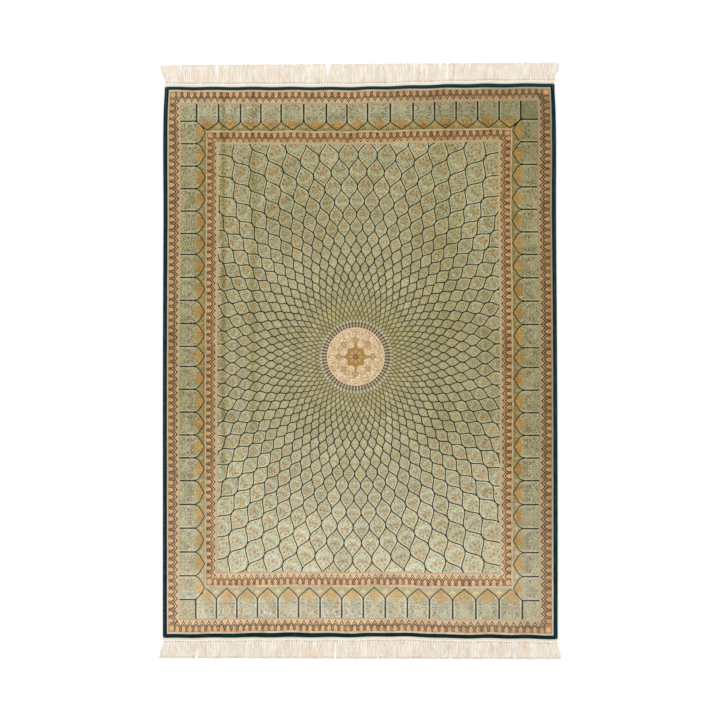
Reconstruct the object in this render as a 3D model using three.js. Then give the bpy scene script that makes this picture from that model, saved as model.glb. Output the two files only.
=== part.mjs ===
// A Persian silk rug, laid flat with the pile up.
// The knotted body carries an overcast cord along each side, a strip of plain weave at
// each end and, beyond it, the knotted warp ends as a fringe.
// Millimetres, +Z up. The warps run along Y, and the origin is the middle of the footprint.

import * as THREE from 'three';

// Thicknesses
const pileThickness = 5;
const cordThickness = 5.6;
const kilimThickness = 1.5;
const fringeThickness = 2;

// Widths across each strip
const cordWidth = 6;
const kilimWidth = 7;
const knotBandWidth = 8.5;
const seam = 0.3; // clear space between neighbouring pieces

// Rounding of the cords
const cordRounding = 1.4;
const cordRoundingSteps = 2;

// Spacing of the points along the outlines
const endStep = 20;
const sideStep = 60;

// Where the two ends of the pile lie, station by station across the rug.
const endStations = [
  { x: -705, top: 972.5, bottom: -984 },
  { x: -270, top: 972.5, bottom: -981 },
  { x: -30, top: 972.5, bottom: -981 },
  { x: 130, top: 976, bottom: -978.5 },
  { x: 240, top: 979.5, bottom: -981.5 },
  { x: 330, top: 982, bottom: -985 },
  { x: 470, top: 984, bottom: -985 },
  { x: 705, top: 985, bottom: -988.5 },
];

// Where the two sides of the rug lie, station by station along it.
const sideStations = [
  { y: -990, left: -701, right: 701 },
  { y: -500, left: -701, right: 701 },
  { y: 0, left: -701, right: 699 },
  { y: 500, left: -699, right: 695.5 },
  { y: 910, left: -697.5, right: 693 },
  { y: 990, left: -692, right: 688 },
];

// The weft rows wander up and down a little near the ends.
const wobbleHeight = 0.9;
const wobbleLength = 140;

// Fringe
const tassels = 156; // at each end
const tasselGap = 2.2; // between neighbouring tassels, at their knots
const tasselTaper = 0.8; // width of a tip as a share of the width at the knot
const fringeReach = 1062; // from the middle of the rug to the longest tips
const tipRagged = 2.4; // how much the trimmed tips vary
const leanSharpness = 14; // how closely the outward lean keeps to the corners

// A smooth edge through one column of a table of stations.
function smoothEdge(stations, along, column) {
  const curve = new THREE.CubicInterpolant(
    stations.map((station) => station[along]),
    stations.map((station) => station[column]),
    1,
  );
  return (place) => curve.evaluate(place)[0];
}

const wobble = (x) => wobbleHeight * Math.sin((2 * Math.PI * x) / wobbleLength);
const smoothTop = smoothEdge(endStations, 'x', 'top');
const smoothBottom = smoothEdge(endStations, 'x', 'bottom');
const topEdge = (x) => smoothTop(x) + wobble(x);
const bottomEdge = (x) => smoothBottom(x) + wobble(x);
const leftEdge = smoothEdge(sideStations, 'y', 'left');
const rightEdge = smoothEdge(sideStations, 'y', 'right');

// Each end of the rug: its edge, the way out along Y, how far the outermost tassels lean
// past the side, and how much shorter the fringe is trimmed at its left corner.
const topEnd = { edge: topEdge, outward: 1, lean: 20, trimLeft: 9 };
const bottomEnd = { edge: bottomEdge, outward: -1, lean: 14, trimLeft: 4 };

// The two places given and every whole multiple of the step between them, in order.
function places(from, to, step) {
  const low = Math.min(from, to);
  const high = Math.max(from, to);
  const list = [low];
  for (let place = Math.ceil(low / step) * step; place < high; place += step) {
    if (place > low) list.push(place);
  }
  list.push(high);
  return from < to ? list : list.reverse();
}

// Points along an end, a distance up from the edge of the pile, between two places across.
function acrossPoints(edge, up, from, to) {
  return places(from, to, endStep).map((x) => new THREE.Vector2(x, edge(x) + up));
}

// Points along a side, a distance to the right of it, between two places along the rug.
function alongPoints(edge, aside, from, to) {
  return places(from, to, sideStep).map((y) => new THREE.Vector2(edge(y) + aside, y));
}

// Where a line a distance to the right of a side meets the two ends of the pile.
function meetings(edge, aside) {
  return {
    bottom: bottomEdge(edge(bottomEdge(0)) + aside),
    top: topEdge(edge(topEdge(0)) + aside),
  };
}

// The outer sides of the rug, where they pass an end.
function sidesAt(end) {
  return { left: leftEdge(end.edge(0)), right: rightEdge(end.edge(0)) };
}

// A flat piece of cloth: an outline raised to a thickness, lying on the ground.
function flatSheet(outline, thickness) {
  return new THREE.ExtrudeGeometry(new THREE.Shape(outline), {
    depth: thickness,
    bevelEnabled: false,
  });
}

function pilePiece() {
  const inset = cordWidth + seam;
  const left = meetings(leftEdge, inset);
  const right = meetings(rightEdge, -inset);
  const outline = [
    ...acrossPoints(bottomEdge, 0, leftEdge(left.bottom) + inset, rightEdge(right.bottom) - inset),
    ...alongPoints(rightEdge, -inset, right.bottom, right.top).slice(1, -1),
    ...acrossPoints(topEdge, 0, rightEdge(right.top) - inset, leftEdge(left.top) + inset),
    ...alongPoints(leftEdge, inset, left.top, left.bottom).slice(1, -1),
  ];
  return flatSheet(outline, pileThickness);
}

// The overcast cord: a narrow strip whose long edges are rounded above and below.
function cordPiece(edge, inward) {
  const outer = meetings(edge, 0);
  const inner = meetings(edge, inward * cordWidth);
  const outline = [
    ...alongPoints(edge, 0, outer.bottom, outer.top),
    ...alongPoints(edge, inward * cordWidth, inner.top, inner.bottom),
  ];
  return new THREE.ExtrudeGeometry(new THREE.Shape(outline), {
    depth: cordThickness - 2 * cordRounding,
    bevelEnabled: true,
    bevelThickness: cordRounding,
    bevelSize: cordRounding,
    bevelOffset: -cordRounding,
    bevelSegments: cordRoundingSteps,
  }).translate(0, 0, cordRounding);
}

function kilimPiece(end) {
  const { left, right } = sidesAt(end);
  const near = end.outward * seam;
  const far = end.outward * (seam + kilimWidth);
  const outline = [
    ...acrossPoints(end.edge, near, left, right),
    ...acrossPoints(end.edge, far, right, left),
  ];
  return flatSheet(outline, kilimThickness);
}

// How far from the middle of the rug a tassel ends, from 0 at the left corner to 1 at the right.
function tipReach(end, across, index) {
  const trim = THREE.MathUtils.lerp(end.trimLeft, 0, across);
  const ragged = 0.5 + 0.3 * Math.sin(index * 2.4) + 0.2 * Math.sin(index * 0.9);
  return fringeReach - trim - tipRagged * ragged;
}

// One comb: a band of knots along the plain weave, and the tassels that hang from it.
function fringePiece(end) {
  const { left, right } = sidesAt(end);
  const pitch = (right - left) / tassels;
  const rootHalf = (pitch - tasselGap) / 2;
  const tipHalf = rootHalf * tasselTaper;
  const near = end.outward * (2 * seam + kilimWidth);
  const far = near + end.outward * knotBandWidth;
  const outline = acrossPoints(end.edge, near, left, right);
  for (let index = tassels - 1; index >= 0; index -= 1) {
    const across = (index + 0.5) / tassels;
    const root = left + across * (right - left);
    const sideways = 2 * across - 1;
    const tip = root + end.lean * Math.sign(sideways) * Math.abs(sideways) ** leanSharpness;
    const reach = end.outward * tipReach(end, across, index);
    outline.push(
      new THREE.Vector2(root + rootHalf, end.edge(root + rootHalf) + far),
      new THREE.Vector2(tip + tipHalf, reach),
      new THREE.Vector2(tip - tipHalf, reach),
      new THREE.Vector2(root - rootHalf, end.edge(root - rootHalf) + far),
    );
  }
  return flatSheet(outline, fringeThickness);
}

const silk = (color) => new THREE.MeshStandardMaterial({ color, roughness: 0.6, metalness: 0 });
const silkPile = silk(0x9a9a74);
const sideCord = silk(0x16363c);
const kilimWeave = silk(0xf2e6d2);
const warpFringe = silk(0xeee0cc);

const rug = new THREE.Group();

function addPiece(name, geometry, material) {
  const piece = new THREE.Mesh(geometry, material);
  piece.name = name;
  rug.add(piece);
}

addPiece('rug_pile', pilePiece(), silkPile);
addPiece('selvedge_left', cordPiece(leftEdge, 1), sideCord);
addPiece('selvedge_right', cordPiece(rightEdge, -1), sideCord);
addPiece('kilim_end_top', kilimPiece(topEnd), kilimWeave);
addPiece('kilim_end_bottom', kilimPiece(bottomEnd), kilimWeave);
addPiece('fringe_top', fringePiece(topEnd), warpFringe);
addPiece('fringe_bottom', fringePiece(bottomEnd), warpFringe);

export default rug;
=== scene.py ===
import math
import random
import bpy
import numpy as np
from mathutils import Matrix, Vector


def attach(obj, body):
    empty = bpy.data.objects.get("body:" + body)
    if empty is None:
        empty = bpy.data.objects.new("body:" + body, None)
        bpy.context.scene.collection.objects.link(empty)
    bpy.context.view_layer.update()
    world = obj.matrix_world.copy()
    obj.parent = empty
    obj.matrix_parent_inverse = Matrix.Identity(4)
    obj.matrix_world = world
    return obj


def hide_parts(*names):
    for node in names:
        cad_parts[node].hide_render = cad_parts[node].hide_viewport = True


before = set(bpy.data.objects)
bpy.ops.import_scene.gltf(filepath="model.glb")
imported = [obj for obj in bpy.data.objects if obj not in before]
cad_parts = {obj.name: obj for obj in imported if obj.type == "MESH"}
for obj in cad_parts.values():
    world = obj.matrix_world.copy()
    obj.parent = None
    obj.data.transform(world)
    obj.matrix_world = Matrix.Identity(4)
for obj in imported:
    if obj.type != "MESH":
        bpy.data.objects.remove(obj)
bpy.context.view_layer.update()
print("frame loaded")

mm = 0.001


# camera, floor and light

view = {
    "lens": 200.0,
    "acrossFrame": 2.558,  # metres of floor across the picture
    "aim": (-0.0007, 0.0028),
    "targetHeight": 0.005,
}

studio = {
    "floorSize": 60.0,
    "floorShade": 0.86,
    "skyStrength": 0.84,
    "softboxSize": 7.0,
    "softboxPlace": (-3.5, 3.5, 11.0),
    "softboxPower": 760.0,
    "silkGain": 0.8,  # share of the light a white silk sends back, which shows as full white
    "yarnGain": 0.91,
}


def addCamera():
    data = bpy.data.cameras.new("camera")
    data.lens = view["lens"]
    data.sensor_width = 36.0
    camera = bpy.data.objects.new("camera", data)
    distance = view["acrossFrame"] * data.lens / data.sensor_width
    camera.location = (*view["aim"], view["targetHeight"] + distance)
    data.clip_start = 0.1
    data.clip_end = 200.0
    bpy.context.scene.collection.objects.link(camera)
    bpy.context.scene.camera = camera
    print("camera", round(distance, 2), "m above the rug")


# recipes: shader sums written as plain sums


class Strand:  # one value in a recipe; sums on it add the nodes that work it out
    def __init__(self, tree, socket=None):
        self.tree = tree
        self.socket = socket

    def node(self, kind, settings=None, inputs=None, output=0):
        made = self.tree.nodes.new(kind)
        for name, value in (settings or {}).items():
            setattr(made, name, value)
        for place, value in (inputs or {}).items():
            if isinstance(value, Strand):
                self.tree.links.new(value.socket, made.inputs[place])
            else:
                made.inputs[place].default_value = value
        return Strand(self.tree, made.outputs[output]) if made.outputs else None

    def other(self, output):  # another output of the same node
        return Strand(self.tree, self.socket.node.outputs[output])

    def maths(self, operation, *values, clamp=False):
        settings = {"operation": operation, "use_clamp": clamp}
        return self.node("ShaderNodeMath", settings, dict(enumerate(values)))

    def __add__(self, other):
        return self.maths("ADD", self, other)

    def __radd__(self, other):
        return self.maths("ADD", other, self)

    def __sub__(self, other):
        return self.maths("SUBTRACT", self, other)

    def __rsub__(self, other):
        return self.maths("SUBTRACT", other, self)

    def __mul__(self, other):
        return self.maths("MULTIPLY", self, other)

    def __rmul__(self, other):
        return self.maths("MULTIPLY", other, self)

    def __truediv__(self, other):
        return self.maths("DIVIDE", self, other)

    def __rtruediv__(self, other):
        return self.maths("DIVIDE", other, self)

    def __neg__(self):
        return self.maths("MULTIPLY", self, -1.0)


def sumOf(operation):  # a function that works one kind of sum on a strand
    return lambda x, *others: x.maths(operation, x, *others)


sized, floorOf, rootOf, cosine = (sumOf(kind) for kind in ("ABSOLUTE", "FLOOR", "SQRT", "COSINE"))
smaller, larger, power, isUnder = (sumOf(kind) for kind in ("MINIMUM", "MAXIMUM", "POWER", "LESS_THAN"))


def wrapped(x, period=1.0):  # the remainder, always from 0 up to the period
    return x.maths("FLOORED_MODULO", x, period)


def below(x, limit, soft):  # 1 where x is under the limit, fading over a width of soft
    if isinstance(limit, Strand):
        return x.maths("MULTIPLY_ADD", limit - x, 1.0 / soft, 0.5, clamp=True)
    return x.maths("MULTIPLY_ADD", x, -1.0 / soft, limit / soft + 0.5, clamp=True)


def above(x, limit, soft):
    if isinstance(limit, Strand):
        return x.maths("MULTIPLY_ADD", x - limit, 1.0 / soft, 0.5, clamp=True)
    return x.maths("MULTIPLY_ADD", x, 1.0 / soft, 0.5 - limit / soft, clamp=True)


def within(x, low, high, soft):
    return above(x, low, soft) * below(x, high, soft)


def choose(mask, ifClear, ifSet):  # a number picked by a mask
    return mask.node("ShaderNodeMix", {"data_type": "FLOAT"}, {0: mask, 2: ifClear, 3: ifSet})


def spot(x, y, halfWide, halfHigh, soft):  # an oval around 0, 0; soft is a share of its size
    far = rootOf(x * x * (1 / halfWide**2) + y * y * (1 / halfHigh**2))
    return below(far, 1.0, soft)


def diamond(x, y, halfWide, halfHigh, soft):
    return below(x * (1 / halfWide) + y * (1 / halfHigh), 1.0, soft)


def layer(under, over, share):  # one colour laid over another
    strand = next(s for s in (share, over, under) if isinstance(s, Strand))
    return strand.node("ShaderNodeMix", {"data_type": "RGBA"}, {0: share, 6: under, 7: over}, output=2)


def dyed(dyes, ground, *coats):  # silks laid one over another, each a colour or the name of a dye
    def silk(value):
        return dyes[value] if isinstance(value, str) else value

    colour = silk(ground)
    for coat, share in coats:
        colour = layer(colour, silk(coat), share)
    return colour


def triple(x, y, z):
    strand = next(s for s in (x, y, z) if isinstance(s, Strand))
    return strand.node("ShaderNodeCombineXYZ", None, {0: x, 1: y, 2: z})


def tinted(colour, red, green, blue):  # each part of a colour made stronger or weaker
    shades = triple(red, green, blue)
    return shades.node("ShaderNodeVectorMath", {"operation": "MULTIPLY"}, {0: colour, 1: shades})


def parts(vector):
    first = vector.node("ShaderNodeSeparateXYZ", None, {0: vector})
    return [first, first.other(1), first.other(2)]


def attribute(root, name, output="Vector"):
    return root.node("ShaderNodeAttribute", {"attribute_name": name}, output=output)


def mottle(x, y, z, detail=1.0):  # three independent noises of about the size of one unit
    place = triple(x, y, z)
    settings = {"noise_dimensions": "3D"}
    inputs = {"Vector": place, "Scale": 1.0, "Detail": detail, "Roughness": 0.5}
    return parts(place.node("ShaderNodeTexNoise", settings, inputs, output="Color"))


def chance(x, y, z):  # three random numbers, alike wherever x, y and z are
    place = triple(x, y, z)
    settings = {"noise_dimensions": "3D"}
    return parts(place.node("ShaderNodeTexWhiteNoise", settings, {"Vector": place}, output="Color"))


def dye(red, green, blue, gain=studio["silkGain"]):  # a silk as the eye sees it, each from 0 to 255
    def light(part):
        share = part / 255
        return share / 12.92 if share <= 0.04045 else ((share + 0.055) / 1.055) ** 2.4

    return (*(gain * light(part) for part in (red, green, blue)), 1.0)


def newMaterial(name):
    material = bpy.data.materials.new(name)
    material.use_nodes = True
    material.node_tree.nodes.clear()
    return material, Strand(material.node_tree)


def finish(root, colour, roughness, relief, sheen=0.05, specular=0.08):
    inputs = {
        "Base Color": colour,
        "Roughness": roughness,
        "Normal": root.node("ShaderNodeBump", None, relief),
        "Specular IOR Level": specular,
        "Sheen Weight": sheen,
        "Sheen Roughness": 0.4,
    }
    shader = root.node("ShaderNodeBsdfPrincipled", None, inputs)
    root.node("ShaderNodeOutputMaterial", None, {0: shader})


def addFloorAndLight():
    world = bpy.data.worlds.new("studio")
    bpy.context.scene.world = world
    world.use_nodes = True
    sky = world.node_tree.nodes["Background"].inputs
    sky["Color"].default_value = (1.0, 1.0, 1.0, 1.0)
    sky["Strength"].default_value = studio["skyStrength"]

    half = studio["floorSize"] / 2
    mesh = bpy.data.meshes.new("floor")
    corners = [(-half, -half, 0), (half, -half, 0), (half, half, 0), (-half, half, 0)]
    mesh.from_pydata(corners, [], [(0, 1, 2, 3)])
    floor = bpy.data.objects.new("floor", mesh)
    bpy.context.scene.collection.objects.link(floor)
    material, root = newMaterial("palePaper")
    place = parts(root.node("ShaderNodeTexCoord", None, None, output="Object"))
    grain = mottle(place[0] * 3.0, place[1] * 3.0, place[2])[0]
    shade = studio["floorShade"]
    plain, warm = (shade, shade, shade, 1.0), (shade, shade * 0.995, shade * 0.985, 1.0)
    relief = {"Strength": 0.02, "Distance": 1.0 * mm, "Height": grain}
    finish(root, layer(plain, warm, grain), grain * 0.1 + 0.75, relief, sheen=0.0, specular=0.1)
    mesh.materials.append(material)

    light = bpy.data.lights.new("softbox", "AREA")
    light.size = studio["softboxSize"]
    light.energy = studio["softboxPower"]
    softbox = bpy.data.objects.new("softbox", light)
    softbox.location = studio["softboxPlace"]
    softbox.rotation_mode = "QUATERNION"
    softbox.rotation_quaternion = (-Vector(studio["softboxPlace"])).to_track_quat("-Z", "Y")
    bpy.context.scene.collection.objects.link(softbox)
    bpy.context.scene.view_settings.view_transform = "Standard"
    print("floor and light")
    return floor


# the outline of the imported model, which every piece follows, in m

outline = {
    "endReach": 0.02,  # points this near the outermost one belong to the line of an end
    "sideFrom": (-0.67, 0.66),  # points beyond these belong to the line of a side
    "cornerReach": 0.15,  # how far along a side its corners are looked for
    "cornerSlack": 0.006,
}

packed = np.array([v.co[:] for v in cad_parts["rug_pile"].data.vertices])


def endEdge(low):
    # the line of an end: only the points that lie near it
    along = packed[:, 1]
    isNear = along < along.min() + outline["endReach"] if low else along > along.max() - outline["endReach"]
    near = packed[isNear]
    order = np.argsort(near[:, 0])
    return near[order, 0], near[order, 1]


def sideEdge(low):
    fromLeft, fromRight = outline["sideFrom"]
    near = packed[packed[:, 0] < fromLeft] if low else packed[packed[:, 0] > fromRight]
    best = {}
    for point in near:
        key = round(float(point[1]), 4)
        best[key] = min(best.get(key, 9.0), point[0]) if low else max(best.get(key, -9.0), point[0])
    keys = np.array(sorted(best))
    values = np.array([best[k] for k in keys])
    # points of the end lines that lie inside the corner are left out
    keep = np.ones(len(keys), bool)
    for i in range(len(keys)):
        nearby = values[np.abs(keys - keys[i]) < outline["cornerReach"]]
        edge = nearby.min() if low else nearby.max()
        keep[i] = abs(values[i] - edge) < outline["cornerSlack"]
    return keys[keep], values[keep]


def follow(line):  # how far out an edge lies, at any place along it
    return lambda place: np.interp(place, *line)


topEdge, bottomEdge = follow(endEdge(False)), follow(endEdge(True))
leftEdge, rightEdge = follow(sideEdge(True)), follow(sideEdge(False))


# the pile: one close mesh that carries the chart of the design

pile = {
    "cell": 8.0,  # mm between mesh lines
    "seam": 6.3,  # mm that the cord and its seam take at each side
    "halfWidth": 701.0,  # mm from the middle of the rug to its sides and ends, before they are fitted
    "top": 978.0,
    "bottom": -983.0,
    "underside": 0.2 * mm,
    "height": 4.9 * mm,
    "rounding": 1.6 * mm,
    "flare": 0.9 * mm,  # how far the pile spreads over the plain weave at each end
    "chartHalfWidth": 700.0,  # the chart is drawn in mm, from the middle of the rug
    "chartHalfLength": 977.0,
    "leanAcross": 1.3,  # how quickly the lean of an edge dies away towards the far one
    "leanAlong": 1.9,
    "ripple": 0.7 * mm,
    "rippleShare": (0.35, 0.5),  # how steep the ripple is, and the level that it starts from
    "sway": 0.8,  # mm that the drawing wanders everywhere
    "stillEdge": 40.0,  # mm over which the wandering grows, from the edge inward
    "stillRim": 9.0,
    "rippleWaves": (31, 300, 9),  # for softWaves: seed, longest wave in mm, and count
    "swayWaves": ((21, 260, 8), (22, 260, 8)),
    # rings of the wall, as shares of the height, the rounding and the flare
    "wall": [(0.86, 0.28, 1), (0.6, 0.0, 1), (0.34, 0.0, 0.5), (0.12, 0.0, 0)],
    "wallInset": (0.9, 0.3),  # shares of the rounding, at the face and at the back
    "medallionRim": 14,  # mm past the medallion that still take its material
    "mapShare": 0.86,  # share of the map that the face of the rug takes
}

# how far each band lies from the outer edge, in mm: on the chart, and as woven on each side
bands = [
    {"name": "guardSilk", "chart": 13.0, "left": 14.5, "right": 14.0, "top": 11.0, "bottom": 12.8},
    {"name": "outerLine", "chart": 19.0, "left": 19.3, "right": 19.5, "top": 17.5, "bottom": 20.0},
    {"name": "outerBuds", "chart": 55.0, "left": 54.7, "right": 57.0, "top": 54.8, "bottom": 61.0},
    {"name": "archLineOut", "chart": 61.0, "left": 59.0, "right": 62.8, "top": 60.6, "bottom": 67.0},
    {"name": "archBand", "chart": 155.0, "left": 149.2, "right": 155.6, "top": 157.0, "bottom": 177.4},
    {"name": "archLineIn", "chart": 161.0, "left": 153.6, "right": 161.0, "top": 162.6, "bottom": 184.0},
    {"name": "innerBuds", "chart": 196.0, "left": 188.0, "right": 198.0, "top": 199.0, "bottom": 225.0},
    {"name": "fieldLine", "chart": 202.0, "left": 194.0, "right": 203.6, "top": 204.8, "bottom": 231.0},
]

# how the buds and arches are spread along each side: a count of them, and the place that it
# reaches, in mm from the middle of the rug
rowsOfMotifs = {
    "outerBuds": {
        "top": [(0, -645), (14, -322), (28, 5), (41, 308), (55, 637)],
        "bottom": [(0, -650), (14, -335), (28, -20), (41, 292), (55, 646)],
        "left": [(0, -923), (18, -458), (37, 9), (56, 477), (74, 921)],
        "right": [(0, -925), (19, -435), (37, 4), (56, 479), (75, 933)],
    },
    "archBand": {
        "top": [(0, -581), (2, -425), (4, -281), (6, -120), (8, 26), (10, 188), (15, 570)],
        "bottom": [(0, -584), (5, -219), (8, 11), (11, 246), (15, 576)],
        "left": [(0, -848), (5, -426), (10, -20), (11, 51), (15, 378), (16, 452), (21, 851)],
        "right": [(0, -852), (5, -426), (10, -24), (11, 46), (15, 378), (21, 858)],
    },
    "innerBuds": {
        "top": [(0, -505), (11, -259), (22, 2), (32, 240), (43, 499)],
        "bottom": [(0, -515), (11, -280), (22, -35), (34, 230), (45, 500)],
        "left": [(0, -762), (16, -354), (31, 6), (47, 399), (63, 781)],
        "right": [(0, -766), (16, -359), (31, 4), (47, 402), (63, 790)],
    },
}

# where the borders stray from their even course: mm on the rug, reach, and shift
strays = [
    {"at": (-620, 640), "reach": (170, 270), "shift": (2.6, 0)},
    {"at": (-600, 760), "reach": (170, 90), "shift": (2.2, 0)},
    {"at": (600, 570), "reach": (170, 200), "shift": (-3.8, 0)},
    {"at": (610, -500), "reach": (170, 130), "shift": (-1.3, 0)},
    {"at": (610, -640), "reach": (170, 300), "shift": (-3.6, 0)},
    {"at": (-265, -860), "reach": (180, 120), "shift": (0, 2.5)},
    {"at": (225, -860), "reach": (70, 120), "shift": (0, -2.4)},
]

# the same, close to the edge, where the plain bands are broader
edgeStrays = [
    {"at": (440, 970), "reach": (230, 14), "shift": (0, -2.2)},
    {"at": (-250, -970), "reach": (160, 14), "shift": (0, 2.4)},
]

# how the dome of the field sits in the weave
dome = {
    "centre": (-15.3, 17.2),  # mm from the middle of the rug
    "span": 533.0,  # mm that count as one in the sums of domePlace
    "unevenAcross": (-0.0248, 0.0025, 0.0086, 0.005),  # for across, along, square and the other way
    "unevenAlong": (-0.0078, 0.0028, -0.0079, 0.0073),
    "squeezeAlong": 1.009,
    "ribs": 64,
    "turn": -0.0632,  # of one cell
    "ringRadius": 355.0,  # mm, where the sum for the rows starts
    "medallionShift": (0.7, -1.2),  # mm from the middle of the medallion to that of the rings
}

# painted sheen: how much lighter the silk is painted along the rug, standing for the light its leaning pile
# sends back: mm along it, then lightness
sheenAlong = [
    (-985, 1.5), (-900, 1.45), (-800, 1.38), (-745, 1.2), (-700, 0.96), (-560, 0.76), (-400, 0.43),
    (-200, 0.1), (0, 0.02), (400, 0.05), (700, 0.05), (790, 0.08), (860, 0.25), (920, 0.4), (985, 0.6),
]

# small uneven patches of the painted sheen, as waves over the rug
sheenWaves = [
    {"waves": (3, 420, 9), "stretch": (1, 1), "strength": 0.05},
    {"waves": (5, 70, 14), "stretch": (1, 1), "strength": 0.05},
    {"waves": (8, 160, 10), "stretch": (3, 0.6), "strength": 0.04},
]

# painted shade of soft creases along the rug, one of them a painted highlight, added to the painted sheen:
# mm across, half width, strength, and mm along where they fade
creaseShading = [
    {"across": -487, "half": 9, "strength": -0.7, "fade": -560},
    {"across": -379, "half": 11, "strength": -0.42, "fade": -420},
    {"across": -500, "half": 8, "strength": 0.15, "fade": -700},
    {"across": 455, "half": 16, "strength": -0.1, "fade": -300},
    {"across": 300, "half": 60, "strength": -0.16, "fade": -380},
]

streakFade = 200  # mm over which they fade

# painted sheen: the right half is painted a little less lit, but for its near end: how much, mm across over
# which that grows, and the mm along where it starts and over which it grows
rightSheen = {"less": 0.07, "across": 500, "from": -700, "along": 300}

# patches of painted sheen, a little lighter or darker than the rest
sheenPatches = [
    {"at": (-330, 650), "reach": (230, 230), "strength": -0.13},
    {"at": (410, -240), "reach": (100, 100), "strength": -0.12},
    {"at": (90, -240), "reach": (110, 100), "strength": 0.1},
    {"at": (430, -640), "reach": (120, 150), "strength": -0.1},
    {"at": (-220, -650), "reach": (110, 110), "strength": 0.12},
    {"at": (-120, -480), "reach": (160, 90), "strength": 0.05},
    {"at": (590, 840), "reach": (180, 150), "strength": -0.16},
    {"at": (-420, 880), "reach": (230, 80), "strength": 0.12},
]

# where the weave wandered: mm on the rug, how far that reaches, and how far the drawing moved
pulls = [
    {"at": (10, 740), "reach": (210, 170), "shift": (-9, 4)},
    {"at": (-440, 110), "reach": (240, 90), "shift": (-1.5, 9.5)},
    {"at": (410, -230), "reach": (130, 150), "shift": (4, -9)},
    {"at": (60, -640), "reach": (240, 150), "shift": (3.5, 1.5)},
    {"at": (-480, 760), "reach": (110, 130), "shift": (-5, 2)},
    {"at": (-400, -330), "reach": (110, 120), "shift": (-5, -2.5)},
    {"at": (250, 310), "reach": (330, 110), "shift": (1.5, -3.5)},
    {"at": (190, 330), "reach": (60, 300), "shift": (-4, -0.5)},
    {"at": (-15, 14), "reach": (190, 190), "shift": (0, 4.2)},
]


def nearness(x, y, patch):
    # 1 at the middle of a patch, less and less away from it
    (middleX, middleY), (reachX, reachY) = patch["at"], patch["reach"]
    return np.exp(-(((x - middleX) / reachX) ** 2 + ((y - middleY) / reachY) ** 2))


def pulled(x, y, wanderings):
    # how far the weave wandered at a point
    across, along = 0 * x, 0 * y
    for pull in wanderings:
        near = nearness(x, y, pull)
        across = across + pull["shift"][0] * near
        along = along + pull["shift"][1] * near
    return across, along


def countAlong(place, row):
    # the number of motifs from the first one of a row to a place, with its fraction
    counts, places = np.array(row, float).T
    low = counts[0] + (place - places[0]) * (counts[1] - counts[0]) / (places[1] - places[0])
    high = counts[-1] + (place - places[-1]) * (counts[-1] - counts[-2]) / (places[-1] - places[-2])
    beyond = np.where(place < places[0], low, high)
    between = (place > places[0]) & (place < places[-1])
    return np.where(between, np.interp(place, places, counts), beyond)


def beyondEnds(place, row):
    # mm past the nearer end of a row, less than 0 between its ends
    return np.maximum(row[0][1] - place, place - row[-1][1])


def domePlace(x, y):
    # where a point of the weave lies on the dome's own plan; the plan was drawn a little uneven
    u = (x - dome["centre"][0]) / dome["span"]
    v = (y - dome["centre"][1]) / dome["span"]
    square = u * u + v * v

    def uneven(own, other, byAcross, byAlong, bySquare, byOther):
        return own * (1 + byAcross * u + byAlong * v + bySquare * square) + byOther * other * other

    across = dome["span"] * uneven(u, v, *dome["unevenAcross"])
    along = dome["span"] * uneven(v, u, *dome["unevenAlong"]) / dome["squeezeAlong"]
    pulledAcross, pulledAlong = pulled(x, y, pulls)
    return across + pulledAcross, along + pulledAlong


def gridFaces(rows, columns):
    # the faces of a grid of points, and the points round its rim in order
    grid = np.arange(rows * columns).reshape(rows, columns)
    quads = np.stack([grid[:-1, :-1], grid[:-1, 1:], grid[1:, 1:], grid[1:, :-1]], -1).reshape(-1, 4)
    return quads, np.concatenate([grid[0], grid[1:, -1], grid[-1, -2::-1], grid[-2:0:-1, 0]])


def softWaves(seed, longest, count):
    # a smooth uneven surface, as a sum of long waves; about -1 to 1
    draw = random.Random(seed)
    waves = []
    for _ in range(count):
        turn = draw.uniform(0, 2 * math.pi)
        length = longest * draw.uniform(0.35, 1.0)
        waves.append((math.cos(turn) / length, math.sin(turn) / length, draw.uniform(0, 1)))

    def height(x, y):
        total = sum(np.sin(2 * math.pi * (a * x + b * y + start)) for a, b, start in waves)
        return total / math.sqrt(count)

    return height


def bandLines(side, start):
    # mesh lines of one side, from its edge to the last band, as (woven, chart) distances
    chart = [0.0] + [band["chart"] for band in bands]
    woven = [0.0] + [band[side] for band in bands]
    lines = []
    for low in range(len(bands)):
        first = max(woven[low], start)
        steps = max(1, round((woven[low + 1] - first) / pile["cell"]))
        for step in range(steps):
            lines.append(first + (woven[low + 1] - first) * step / steps)
    lines.append(woven[-1])
    return np.array(lines), np.interp(lines, woven, chart)


def acrossLines(lowSide, highSide, lowStart, highStart, chartHalf, lowEdge, highEdge):
    lowWoven, lowChart = bandLines(lowSide, lowStart)
    highWoven, highChart = bandLines(highSide, highStart)
    fieldLow, fieldHigh = lowEdge + lowWoven[-1], highEdge - highWoven[-1]
    steps = round((fieldHigh - fieldLow) / pile["cell"])
    inner = np.arange(1, steps) / steps
    reach = chartHalf - bands[-1]["chart"]
    field = fieldLow + inner * (fieldHigh - fieldLow)
    woven = np.concatenate([lowEdge + lowWoven, field, highEdge - highWoven[::-1]])
    chart = np.concatenate([lowChart - chartHalf, -reach + 2 * reach * inner, chartHalf - highChart[::-1]])
    return woven, chart


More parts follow.
